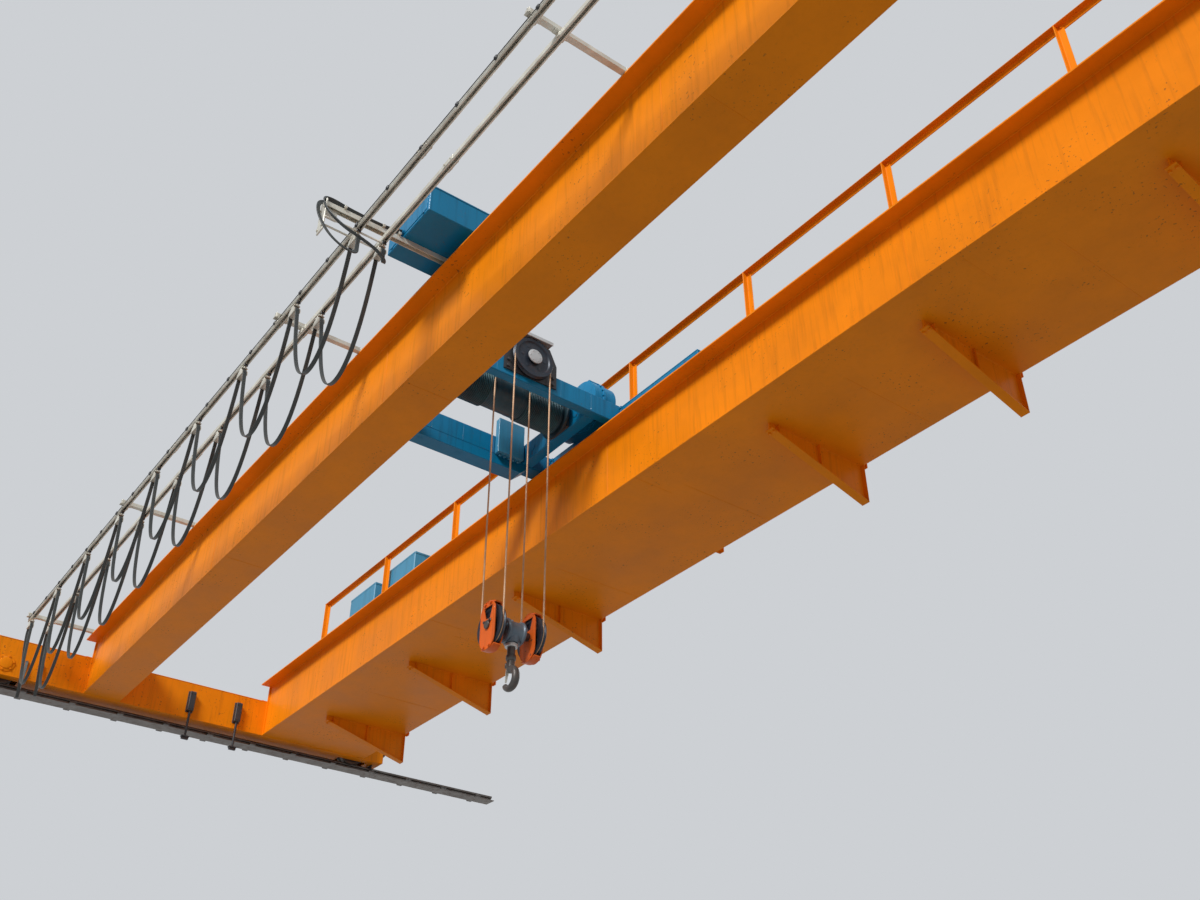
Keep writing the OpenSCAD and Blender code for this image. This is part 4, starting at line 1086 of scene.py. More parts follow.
    # travel drives outside the side frames' far ends: a round-cornered case and a motor along X
    deep, r, long, lift = s["drive"]
    x, z, face = -s["axles"], s["axleZ"], y + half
    a = np.linspace(0, 2 * math.pi, 37)[:-1]
    outline = np.column_stack([0.073 * np.cos(a), np.where(np.sin(a) > 0, 0.023, 0.0) + 0.061 * np.sin(a)])
    p = np.array([[at(x + q[0] * k, face + out, z + q[1] * k) for q in outline[::-1]]
                  for k, out in ((0.96, 0.0), (1.0, 0.006), (1.0, deep), (0.92, deep + 0.008),
                                 (0.60, deep + 0.0095))])
    drive = [gridPart(p), bar(at(x - 0.075, face + 0.046, z - 0.055),
                              at(x + 0.075, face + 0.054, z + 0.075), 0.002),
             bar(at(x + 0.050, face + 0.004, z - 0.018), at(x + 0.077, face + 0.094, z + 0.062), 0.004),
             placed(motorParts(long, r, 20), [at(x + 0.075, face + 0.050, z + lift)], alongXAxes)]
    drive.append(bolts((0.011, 0.006, 0.014),
                       [at(x + 0.052 * math.cos(b), face + deep + 0.003, z + 0.011 + 0.052 * math.sin(b))
                                                       for b in np.radians(np.arange(15, 360, 45))],
                                                       alongYAxes))
    piece("trolleyTravelDrives", bothSides(drive), "trolley", "blue_paint", "trolley_travel_motors")
    # terminal box on the far beam: case, door with a rim, hinges and a catch, glands below
    xa, xb, ya, yb, za, zb = s["terminals"]
    parts = [bar(at(xa, ya + 0.004, za), at(xb - 0.012, yb - 0.004, zb - 0.002), 0.004),
             bar(at(xb - 0.014, ya, za + 0.004), at(xb - 0.001, yb, zb), 0.004)]
    for zz in (za + 0.06, zb - 0.06):
        parts.append(rod(at(xb - 0.008, ya + 0.001, zz - 0.02), at(xb - 0.008, ya + 0.001, zz + 0.02),
                         0.005, 12, 0.001))
    parts.append(bolts((0.010, 0.0005, 0.016), [at(xb - 0.0035, yb - 0.02, zz)
            for zz in (za + 0.05, zb - 0.05)], alongXAxes))
    parts.append(placed(lathe([(0.011, 0), (0.012, -0.004), (0.012, -0.018), (0.008, -0.022)][::-1], 16),
                        [at(xa + 0.026, yy, za + 0.001) for yy in np.arange(ya + 0.04, yb - 0.03, 0.045)]))
    piece("terminalBox", parts, "trolley", "blue_paint", "terminal_box", look=materials["cabinet_paint"])
    # a plate with a bored boss carries each end of the drum's shaft
    parts = [bar(at(-0.405, 0.564, 0.790), at(-0.185, 0.590, 1.029), 0.004)]
    parts.append(placed(lathe([(0.0405, -0.012), (0.082, -0.012), (0.088, -0.008), (0.088, 0.012),
                               (0.0405, 0.012)], 40),
                        [at(*s["bearing"])], alongYAxes))
    parts.append(ringBolts(at(-0.295, 0.558, 0.919), 0.070, 8, backYAxes, (0.015, 0.007, 0.019), 0.39))
    for x in (-0.395, -0.195):
        parts.append(bar(at(x - 0.005, 0.552, 0.792), at(x + 0.005, 0.566, 0.94), 0.001))
    piece("drumBearings", bothSides(parts), "trolley", "black_paint", "drum_bearings")


makeTrolley(trolleySettings)
print("trolley frame made")


# Hoist drive: gear case with a flanged joint, ribs, bearing covers, and the motor beside it
hoistSettings = {
    "big": (-0.180, 1.059, 0.220),
    "small": (-0.560, 1.101, 0.135),
    "case": (0.690, 0.910),
    "motor": (-0.560, 1.101, 0.120, 0.600),
}


def twoCircles(a, b, shrink=0.0, steps=28):
    # outline round two circles (x, z, r) and the lines that touch both, drawn against the clock
    # in (z, x)
    (x0, z0, r0), (x1, z1, r1) = a, b
    r0, r1 = r0 - shrink, r1 - shrink
    d = math.hypot(x1 - x0, z1 - z0)
    tilt, lean = math.atan2(z1 - z0, x1 - x0), math.acos((r0 - r1) / d)
    big = np.linspace(tilt + lean, tilt + 2 * math.pi - lean, steps * 2)
    small = np.linspace(tilt - lean, tilt + lean, steps)
    pts = [(x0 + r0 * math.cos(t), z0 + r0 * math.sin(t)) for t in big]
    pts += [(x1 + r1 * math.cos(t), z1 + r1 * math.sin(t)) for t in small]
    return np.array(pts)[::-1]


def makeHoist(s):
    y0, y1 = s["case"]
    a, b = s["big"], s["small"]
    rows = [(0.020, y0), (0.008, y0 + 0.004), (0.008, y0 + 0.085), (0.0, y0 + 0.088), (0.0, y0 + 0.112),
            (0.008, y0 + 0.115), (0.008, y1 - 0.004), (0.020, y1)]
    p = np.array([[(middle + x, y, z) for x, z in twoCircles(a, b, cut)] for cut, y in rows])
    parts = [gridPart(p)]
    # bolts along the joint's flange, on the side the drum is on
    line = twoCircles(a, b, 0.004, 10)
    step = np.concatenate([[0], np.cumsum(np.linalg.norm(np.diff(line, axis=0), axis=1))])
    at = np.linspace(0, step[-1], 26)[:-1]
    spots = np.column_stack([middle + np.interp(at, step, line[:, 0]), np.full(25, y0 + 0.088),
                             np.interp(at, step, line[:, 1])])
    parts.append(bolts((0.014, 0.010, 0.018), spots, backYAxes))
    for (x, z, r), wide in ((a, 0.110), (b, 0.070)):
        for y, axes in ((y0, backYAxes), (y1, alongYAxes)):
            lid = [(wide, -0.004), (wide, 0.002), (wide * 0.96, 0.004), (wide * 0.6, 0.004)]
            out = 0.0035 if y == y1 else -0.0035
            parts.append(placed(lathe(lid, 40), [(middle + x, y, z)], axes))
            parts.append(ringBolts((middle + x, y + out, z), wide * 0.82, 8, axes, (0.013, 0.007, 0.016),
                                   0.2))
        for k in range(8):
            t = k * math.pi / 4 + 0.39
            c, q = math.cos(t), math.sin(t)
            rib = bar((wide + 0.004, -0.003, -0.008), (r - 0.030, 0.003, 0.0008), 0.001)
            parts.append(placed(rib, [(middle + x, y0, z)], [(c, 0, q), (-q, 0, c), (0, -1, 0)]))
    # lid with a breather on top, oil plug below, feet on the long beam
    x, z, r = a
    parts.append(bar((middle + x - 0.09, y0 + 0.03, z + r - 0.016),
                     (middle + x + 0.09, y1 - 0.03, z + r + 0.003), 0.003))
    parts.append(bolts((0.012, 0.006, 0.016), [(middle + x + i, y, z + r + 0.002) for i in (-0.075, 0.075)
                                                       for y in (y0 + 0.045, y1 - 0.045)]))
    parts.append(placed(lathe([(0.016, 0), (0.016, 0.010), (0.009, 0.012), (0.009, 0.022), (0.018, 0.024),
                               (0.018, 0.034),
                               (0.012, 0.038)], 18), [(middle + x, (y0 + y1) / 2, z + r)]))
    parts.append(bolts((0.022, 0.012, 0.030), [(middle + x - 0.02, y0, z - r + 0.04)], backYAxes))
    for i in (-0.12, 0.12):
        parts.append(bar((middle + x + i - 0.035, y0 - 0.006, 0.962),
                         (middle + x + i + 0.035, y0 + 0.06, 0.974), 0.002))
        parts.append(bar((middle + x + i - 0.005, y0 - 0.002, 0.972),
                         (middle + x + i + 0.005, y0 + 0.05, 1.02), 0.001))
    piece("hoistGearbox", parts, "trolley", "blue_paint", "hoist_gearbox")
    x, z, r, long = s["motor"]
    axes = [[1, 0, 0], [0, 0, 1], [0, -1, 0]]
    parts = [placed(motorParts(long * 0.80, r, 36), [(middle + x, y0, z)], axes)]
    # brake on the motor's end, a plain drum with its bolts and hand lever
    brake = [(r * 0.6, long * 0.79), (r * 0.86, long * 0.81), (r * 0.90, long * 0.83),
             (r * 0.90, long * 0.97),
             (r * 0.84, long - 0.002), (r * 0.3, long - 0.001)]
    parts.append(placed(lathe(brake, 44), [(middle + x, y0, z)], axes))
    parts.append(ringBolts((middle + x, y0 - long + 0.002, z), r * 0.66, 6, backYAxes,
                           (0.013, 0.0065, 0.016)))
    parts.append(rod((middle + x, y0 - long * 0.92, z + r * 0.80),
                     (middle + x - 0.01, y0 - long * 0.95, z + r * 1.30), 0.007, 10, 0.002))
    parts.append(placed(lathe([(0.006, -0.012), (0.012, -0.006), (0.012, 0.006), (0.006, 0.012)], 14),
                        [(middle + x - 0.01, y0 - long * 0.95, z + r * 1.33)]))
    piece("hoistMotor", parts, "trolley", "blue_paint", "hoist_motor")


makeHoist(hoistSettings)

upperSettings = {
    "x": 6.70,
    "z": 1.019,
    "pitchR": 0.165,
    "rim": 0.180,
    "wide": 0.044,
    "plate": (6.660, 6.672),
    "half": 0.245,
    "low": 0.840,
    "keeper": 1.205,
}


def makeUpper(s):
    z, x0, x1 = s["z"], *s["plate"]
    # back plate with cut corners
    h, lo, hi = s["half"], s["low"], s["keeper"] - 0.0005
    outline = [(-h, lo), (h, lo), (h, 1.06), (h - 0.07, hi), (-h + 0.07, hi), (-h, 1.06)]
    parts = [plate(outline, x0, x1, alongXAxes)]
    for y in (-0.21, 0.21):
        parts.append(bar((x0 - 0.045, y - 0.005, 0.968), (x0 + 0.001, y + 0.005, 1.06), 0.001))
        parts.append(bolts((0.024, 0.012, 0.032), [(x1, y, 0.868), (x1, y, 0.930)], alongXAxes))
    # keeper over the sheave, with a lip at the front and its bolts
    top = s["keeper"]
    keeper = [bar((x0, -0.165, top), (6.732, 0.165, top + 0.012), 0.002),
              bar((6.728, -0.166, top - 0.006), (6.738, 0.166, top + 0.024), 0.002),
              bolts((0.016, 0.008, 0.020), [(x0 + 0.018, y, top + 0.0115) for y in (-0.12, 0, 0.12)])]
    piece("upperSheaveFrame", parts, "trolley", "black_paint", "upper_sheave_frame")
    piece("sheaveKeeper", keeper, "trolley", "black_paint", look=paleLook)
    wheel = lathe(sheaveProfile(s["pitchR"], s["rim"], s["wide"], 0.007, 0.060, 0.0305), 72)
    parts = [placed(wheel, [(s["x"], 0, z)], alongXAxes)]
    a = np.radians(np.arange(6) * 60)
    parts.append(placed(lathe([(0.012, -0.010), (0.015, -0.0085), (0.015, 0.0085), (0.012, 0.010)], 16),
                        np.column_stack([np.full(6, s["x"]), 0.105 * np.cos(a), z + 0.105 * np.sin(a)]),
                        alongXAxes))
    piece("upperSheave", parts, "trolley", "rail_steel", "upper_sheave", look=sheaveLook)
    # axle and pale hub cap with its bolts, on the open side
    cap = [(0.030, -0.037), (0.030, -0.028), (0.030, 0.0225), (0.060, 0.024), (0.064, 0.027),
           (0.064, 0.034), (0.056, 0.0375),
           (0.020, 0.038)]
    parts = [placed(lathe(cap, 40), [(s["x"], 0, z)], alongXAxes),
             ringBolts((s["x"] + 0.0345, 0, z), 0.048, 6, alongXAxes, (0.012, 0.0032, 0.014))]
    piece("upperHub", parts, "trolley", "zinc", look=paleLook)


makeUpper(upperSettings)

armSettings = {
    "x": 7.470,
    "half": 0.020,
    "z": (0.750, 0.790),
    "y": (-2.150, -1.090),
    "leg": (-2.160, -2.150, 0.520),
    "legHalf": 0.043,
    "fork": (0.6294, 0.641, -1.710),
    "prong": 0.012,
    "saddles": (-2.02, -1.88, -1.74, -1.62),
    "cablesX": (7.487, 7.452),
    "box": (7.260, 7.820, -1.590, -1.090, 0.790, 1.020),
}


def makeArm(s):
    x, h = s["x"], s["half"]
    z0, z1 = s["z"]
    outline = [(-h, z0), (-h + 0.004, z0), (-h + 0.004, z1 - 0.004), (h - 0.004, z1 - 0.004),
               (h - 0.004, z0), (h, z0),
               (h, z1 - 0.002), (h - 0.002, z1), (-h + 0.002, z1), (-h, z1 - 0.002)]
    p = np.array([[(x + a, y, b) for a, b in outline] for y in s["y"]])
    parts = [gridPart(p[::-1])]
    lh = s["legHalf"]
    parts.append(bar((x - lh, s["leg"][0], s["leg"][2]), (x + lh, s["leg"][1], z1), 0.002))
    parts.append(bar((x - 0.004, s["leg"][1] - 0.001, z0 - 0.09),
                     (x + 0.004, s["leg"][1] + 0.09, z0 + 0.002), 0.001))
    for side in (-1, 1):
        parts.append(bar((x + side * lh, s["leg"][1], s["fork"][0]),
                         (x + side * (lh - s["prong"]), s["fork"][2], s["fork"][1]), 0.002))
    spots = [(x + side * 0.030, s["leg"][1] - 0.009, z) for side in (-1, 1) for z in (0.55, 0.72)]
    parts.append(bolts((0.013, 0.006, 0.016), spots, backYAxes))
    # saddles that hold the two cables down on the arm
    for y in s["saddles"]:
        parts.append(bar((x - 0.040, y - 0.009, 0.788), (x + 0.036, y + 0.009, 0.793), 0.001))
        parts.append(bar((x - 0.040, y - 0.009, 0.8055), (x + 0.036, y + 0.009, 0.8095), 0.001))
        for dx in (-0.038, 0.034):
            parts.append(bar((x + dx - 0.002, y - 0.009, 0.790), (x + dx + 0.002, y + 0.009, 0.808),
                             0.0005))
        parts.append(bolts((0.008, 0.004, 0.010), [(x - 0.002, y, 0.8090)]))
    piece("towArm", parts, "trolley", "zinc", "tow_arm")
    x0, x1, y0, y1, b0, b1 = s["box"]
    parts = [bar((x0 + 0.004, y0 + 0.004, b0), (x1 - 0.004, y1 - 0.001, b1 - 0.004), 0.006),
             bar((x0, y0, b1 - 0.016), (x1, y1, b1 - 0.001), 0.004)]
    # lid's rim, hinges, catches and the cables' glands
    parts.append(bar((x0 + 0.03, y0, b0 + 0.025), (x1 - 0.03, y0 + 0.006, b1 - 0.032), 0.003))
    for xx in (x0 + 0.07, x1 - 0.07):
        parts.append(rod((xx - 0.028, y0 + 0.001, b1 - 0.026), (xx + 0.028, y0 + 0.001, b1 - 0.026), 0.006,
                         12, 0.001))
        parts.append(bar((xx - 0.012, y0 - 0.003, b0 + 0.016), (xx + 0.012, y0 + 0.004, b0 + 0.048), 0.002))
    for xx in s["cablesX"]:
        parts.append(placed(lathe([(0.016, -0.004), (0.017, 0.0), (0.017, 0.012), (0.0145, 0.016)], 16),
                            [(xx, y0 + 0.002, 0.8355)], backYAxes))
    for yy in (y0 + 0.06, y1 - 0.05):
        parts.append(bar((x0 + 0.05, yy - 0.012, b1 - 0.002), (x0 + 0.09, yy + 0.012, b1), 0.001))
    piece("switchgearBox", parts, "trolley", "blue_paint", "switchgear_box")


makeArm(armSettings)
print("hoist made")


# Bridge: beads, end stops, trolley rails
spanX = 13.5
bridgeSettings = {
    "girders": (-1.0, 1.0),
    "x": (0.200, 13.300),
    "web": (0.175, 0.117, 0.677),     # half width over the webs, Z from, to
    "seams": (3.51, 6.57, 9.66),      # upright welds in the webs
    "flange": (0.190, 0.295),
    "bar": (0.350, 13.150, 0.025, 0.689, 0.729),
    "weld": 0.0055,
    "stop": (0.290, 0.350, 0.060, 0.919, 0.864),
}


def makeBridge(s):
    x0, x1 = s["x"]
    half, z0, z1 = s["web"]
    parts = []
    for y in s["girders"]:
        for side in (-1, 1):
            parts.append(rod((x0, y + side * half, z0 + 0.001), (x1, y + side * half, z0 + 0.001),
                             s["weld"], 8))
            parts.append(rod((x0, y + side * half, z1 - 0.001), (x1, y + side * half, z1 - 0.001),
                             s["weld"], 8))
            for x in s["seams"]:
                parts.append(bar((x - 0.008, y + side * (half - 0.002), z0),
                                 (x + 0.008, y + side * (half + 0.0022), z1), 0.002))
        for x in s["seams"]:
            parts.append(bars([((x + 0.342, y - s["flange"][0] + 0.002, 0.1035),
                                (x + 0.358, y + s["flange"][0] - 0.002, 0.106))], 0.001))
    piece("girderWelds", parts, "bridge", "orange_paint")
    # trolley rail: square bar with worn top edges, tacked to the girder on both sides
    a, b, h, lo, hi = s["bar"]
    parts = []
    for y in s["girders"]:
        parts.append(bar((a, y - h, lo), (b, y + h, hi), 0.005))
        xs = np.arange(a + 0.10, b - 0.1, 0.30)
        for side in (-1, 1):
            parts.append(placed(rod((0, 0, 0), (0.08, 0, 0), 0.005, 8), np.column_stack(
                [xs, np.full(len(xs), y + side * h), np.full(len(xs), lo + 0.001)])))
    piece("trolleyRails", parts, "bridge", "rail_steel", "trolley_rails")
    # end stop: upright plate, base, two gussets and a rubber block
    a, b, h, top, pad = s["stop"]
    parts = [bar((b - 0.020, -h, lo), (b, h, top), 0.002), bar((a, -h, lo), (b, h, lo + 0.012), 0.002)]
    for y in (-0.042, 0.042):
        tri = [(a + 0.004, lo + 0.012), (b - 0.020, lo + 0.012), (b - 0.020, top - 0.010),
               (a + 0.022, lo + 0.05)]
        parts.append(gridPart(np.array([[(x, q, z) for x, z in tri] for q in (y + 0.005, y - 0.005)])))
    parts.append(bolts((0.024, 0.012, 0.030), [(a + 0.018, 0, lo + 0.011)]))
    rubber = [lathe([(0.020, 0), (0.045, 0.001), (0.045, 0.006), (0.040, 0.012), (0.0445, 0.026),
                     (0.044, 0.040), (0.036, 0.049),
                     (0.012, 0.0495)], 32)]
    pads = placed(merged(rubber), [(b, 0, pad)], alongXAxes)
    one = merged(parts)
    both = lambda q: merged([moved(bothSides(q, 0, spanX / 2), (0, y, 0)) for y in s["girders"]])
    piece("endStops", both(one), "bridge", "orange_paint", "trolley_end_stops")
    piece("endStopPads", both(pads), "bridge", "orange_paint", look=materials["rubber"])


makeBridge(bridgeSettings)

truckSettings = {
    "half": 0.180,
    "length": 2.350,
    "z": (0.105, 0.505),
    "axles": 2.000,
    "axleZ": 0.2328,
    "wheelR": 0.1575,
    "tread": 0.0385,       # half the width of the tread
    "flange": 0.017,
}


def makeTrucks(s):
    h, l, (z0, z1) = s["half"], s["length"], s["z"]
    parts = [boxBeads((-h + 0.002, -l + 0.004, z0 + 0.002), (h - 0.002, l - 0.004, z1 - 0.002), 1, 0.0055)]
    parts.append(bothSides(bar((-h + 0.001, l - 0.004, z0 + 0.001), (h - 0.001, l + 0.001, z1 - 0.001),
                               0.002)))
    # bearing covers outside both faces, but none where the drives sit
    cover = [(0.052, -0.002), (0.086, -0.001), (0.088, 0.002), (0.088, 0.006), (0.064, 0.008),
             (0.060, 0.015), (0.050, 0.0175),
             (0.012, 0.0175)]
    for y in (-s["axles"], s["axles"]):
        for side in (-1, 1):
            if side > 0 and y > 0:
                continue
            axes = alongXAxes if side > 0 else backXAxes
            parts.append(placed(lathe(cover, 40), [(side * h, y, s["axleZ"])], axes))
            parts.append(ringBolts((side * (h + 0.0055), y, s["axleZ"]), 0.075, 6, axes,
                                   (0.017, 0.0075, 0.022), 0.26))
        # stiffening ring round the slot for the wheel, seen from below
        parts.append(bars([((-0.076, y - 0.190, z0 - 0.004), (0.076, y - 0.180, z0 + 0.002)),
                           ((-0.076, y + 0.180, z0 - 0.004), (0.076, y + 0.190, z0 + 0.002))], 0.001))
    # seats for the girders: thin plates on the truck with bolts beside each girder
    for y in (-1.0, 1.0):
        parts.append(bar((-h + 0.01, y - 0.25, z1 - 0.001), (h - 0.004, y + 0.25, z1 + 0.010), 0.003))
        spots = [(x, y + q, z1 + 0.0095) for q in (-0.22, 0.22) for x in (-0.12, 0.0, 0.12)]
        parts.append(bolts((0.030, 0.016, 0.044), spots))
    # covers over hand holes on the outer face
    for y in (-0.55, 0.55):
        parts.append(plate(roundBox(0.22, 0.14, 0.03), 0, 0.005, backXAxes, (-h, y, 0.31)))
        spots = [(-h - 0.005, y + a, 0.31 + b) for a in (-0.09, 0.09) for b in (-0.05, 0.05)]
        parts.append(bolts((0.013, 0.006, 0.016), spots, backXAxes))
    one = merged(parts)
    piece("truckFittings", bothSides(one, 0, spanX / 2), "bridge", "orange_paint")
    # wheels: worn tread between two flanges, pressed on a stepped axle
    R, t = s["wheelR"], s["tread"]
    prof = [(0.036, -0.1955), (0.040, -0.192), (0.040, -0.060), (0.070, -t - 0.020),
            (R - 0.045, -t - 0.012), (R - 0.030, -t - 0.020),
            (R + s["flange"] - 0.004, -t - 0.020), (R + s["flange"], -t - 0.015),
            (R + s["flange"] - 0.002, -t - 0.006),
            (R + 0.004, -t - 0.001), (R, -t + 0.004)]
    prof = mirrored(prof)
    wheels = placed(lathe(prof, 72), [(x, y, s["axleZ"]) for x in (0, spanX)
                                      for y in (-s["axles"], s["axles"])], alongXAxes)
    piece("bridgeWheels", wheels, "bridge", "rail_steel", "bridge_wheels")
    # buffers: plate with four bolts, ribbed rubber
    mid = (z0 + z1) / 2
    plates = [bar((-0.080, l, mid - 0.080), (0.080, l + 0.015, mid + 0.080), 0.003),
              bolts((0.019, 0.010, 0.025), [(x, l + 0.0145, mid + z) for x in (-0.064, 0.064)
                  for z in (-0.064, 0.064)], alongYAxes)]
    rubber = [(0.0575, 0.013), (0.0625, 0.016), (0.0625, 0.024), (0.056, 0.032), (0.060, 0.046),
              (0.0615, 0.066), (0.058, 0.090),
              (0.046, 0.1025), (0.020, 0.1045)]
    block = placed(lathe(rubber, 40), [(0, l, mid)], alongYAxes)
    ends = lambda q: bothSides(bothSides(q), 0, spanX / 2)
    piece("truckBuffers", ends(block), "bridge", "rubber", "truck_buffers")
    piece("bufferPlates", ends(plates), "bridge", "rubber", look=materials["black_paint"])


makeTrucks(truckSettings)

driveSettings = {
    "face": 0.180,
    "y": 2.000,
    "case": (0.130, 0.110, 0.1278, 0.4028),
    "motor": (0.259, 0.078, 0.4028, 0.290),
    "axleZ": 0.2328,
    "collectors": (-0.06, 0.48),
}


def makeDrives(s):
    x0, y = s["face"], s["y"]
    deep, half, z0, z1 = s["case"]
    zc = s["axleZ"]
    a = np.radians(np.arange(180, 361, 12))
    low = [(half * math.cos(t), zc + (zc - z0) * math.sin(t)) for t in a]
    outline = np.array(low + [(half * 0.98, zc + 0.06), (half * 0.80, z1 - 0.012), (half * 0.74, z1),
                              (-half * 0.74, z1),
                              (-half * 0.80, z1 - 0.012), (-half * 0.98, zc + 0.06)])
    mid = outline.mean(0)
    rows = [(0.94, 0.0), (0.97, 0.004), (0.97, deep * 0.44), (1.0, deep * 0.46), (1.0, deep * 0.58),
            (0.97, deep * 0.60),
            (0.95, deep * 0.96), (0.88, deep)]
    p = np.array([[(x0 + x, y + q[0], q[1]) for q in mid + (outline - mid) * k] for k, x in rows])
    parts = [gridPart(p)]
    line = mid + (outline - mid) * 0.965
    spots = [(x0 + deep * 0.579, y + q[0], q[1]) for q in line[::2]]
    parts.append(bolts((0.014, 0.008, 0.018), spots, alongXAxes))
    parts.append(placed(lathe([(0.062, -0.002), (0.062, 0.000), (0.056, 0.0025)], 32),
                        [(x0 + deep - 0.003, y, zc)], alongXAxes))
    parts.append(ringBolts((x0 + deep - 0.0085, y, zc), 0.050, 6, alongXAxes, (0.012, 0.005, 0.014)))
    for q in (-0.05, 0.05):
        parts.append(bar((x0 + deep * 0.60, y + q - 0.003, z0 + 0.05),
                         (x0 + deep - 0.006, y + q + 0.003, z1 - 0.02), 0.001))
    mx, r, mz, long = s["motor"]
    parts.append(placed(lathe([(0.060, -0.004), (r, 0.0), (r, 0.010), (0.070, 0.012)], 36),
                        [(mx, y, mz - 0.004)]))
    parts.append(placed(motorParts(long, r, 28), [(mx, y, mz)], [[0, -1, 0], [1, 0, 0], [0, 0, 1]]))
    piece("travelDrives", bothSides(parts, 0, spanX / 2), "bridge", "blue_paint", "travel_drives")
    # current collectors: case on the truck, swinging arm with a spring, insulator and shoe
    parts = []
    for cy in s["collectors"]:
        parts.append(bar((x0, cy - 0.040, 0.165), (x0 + 0.008, cy + 0.040, 0.405), 0.002))
        parts.append(bar((x0 + 0.006, cy - 0.034, 0.175), (x0 + 0.058, cy + 0.034, 0.395), 0.006))
        parts.append(bolts((0.013, 0.006, 0.016), [(x0 + 0.057, cy + i, k) for i in (-0.022, 0.022)
                for k in (0.20, 0.37)], alongXAxes))
        parts.append(rod((x0 + 0.034, cy, 0.18), (x0 + 0.034, cy, -0.100), 0.012, 16, 0.002))
        for k in range(5):
            parts.append(placed(lathe([(0.012, -0.004), (0.0138, -0.001), (0.0138, 0.001), (0.012, 0.004)],
                                      18),
                                [(x0 + 0.034, cy, -0.02 - 0.014 * k)]))
        turn = np.linspace(0, 9 * 2 * math.pi, 160)
        parts.append(tube(np.column_stack([x0 + 0.034 + 0.0135 * np.cos(turn) * 0.98,
                                           cy + 0.0132 * np.sin(turn),
                                           np.linspace(0.16, 0.05, 160)]), 0.0018, 6))
        parts.append(bar((x0 + 0.010, cy - 0.045, -0.110), (x0 + 0.058, cy + 0.045, -0.124), 0.003))
        parts.append(bar((x0 + 0.020, cy - 0.040, -0.122), (x0 + 0.048, cy + 0.040, -0.1495), 0.005))
    piece("currentCollectors", parts, "bridge", "black_paint", "current_collectors")
    # bolts that hold the rail sweeps' plates up under the trucks
    spots = [(x, side * 2.2615, 0.098) for x in (-0.045, 0.045) for side in (-1, 1)]
    parts = [bolts((0.010, 0.006, 0.010), spots, downAxes)]
    parts.append(bothSides(bar((-0.060, 2.2605, 0.085), (0.060, 2.2530, 0.1045), 0.001)))
    piece("sweepSeats", bothSides(parts, 0, spanX / 2), "bridge", "black_paint")


makeDrives(driveSettings)
print("bridge made")


# Walkway: brackets, deck seams, angle handrails, cabinets
walkSettings = {
    "deck": (0.200, 13.300, 1.190, 2.085, 0.105, 0.113),
    "rails": (1.1502, 2.9403, 4.8101, 6.4530, 8.0703, 9.4851, 11.2050, 12.7494),
    "bare": 3,              # this post of the outer handrail has no bracket under it
    "bracket": (0.325, 0.060),
    "toe": (2.085, 2.091, 0.213),
    "posts": [0.500 + 1.475 * k for k in range(9)],
    "leg": 0.050,
    "thick": 0.006,
    "outerRail": (2.141, 0.608, 0.653, 1.193),   # Y of the posts' face, knee rail's Z, top
    "girderRail": (1.280, 0.689, 1.769),
    "joint": 0.0003,        # play between a post and its rail
    "seams": (2.01, 13.0, 1.690),
    "splices": (4.35, 9.42),   # X of the strips that join the toe board's lengths
    "ribs": (1.620, 0.190),
    "cabinets": (1.015, 1.915),
    "cabinet": (0.600, 1.307, 1.657, 0.173, 1.613),   # width, Y from, to, Z from, to
    "plinth": (0.020, 0.113),
    "louvres": (7, 0.022),
}


def angleOutline(leg, thick):
    # steel angle: corner at the origin, legs along +a and +b, round root and toes
    r = thick * 0.9
    a = np.radians(np.linspace(270, 180, 5))
    root = np.column_stack([thick + r + r * np.cos(a), thick + r + r * np.sin(a)])
    return np.concatenate([[(0, 0), (leg, 0), (leg, thick * 0.45), (leg - thick * 0.5, thick)], root,
                           [(thick, leg - thick * 0.5), (thick * 0.45, leg), (0, leg)]])


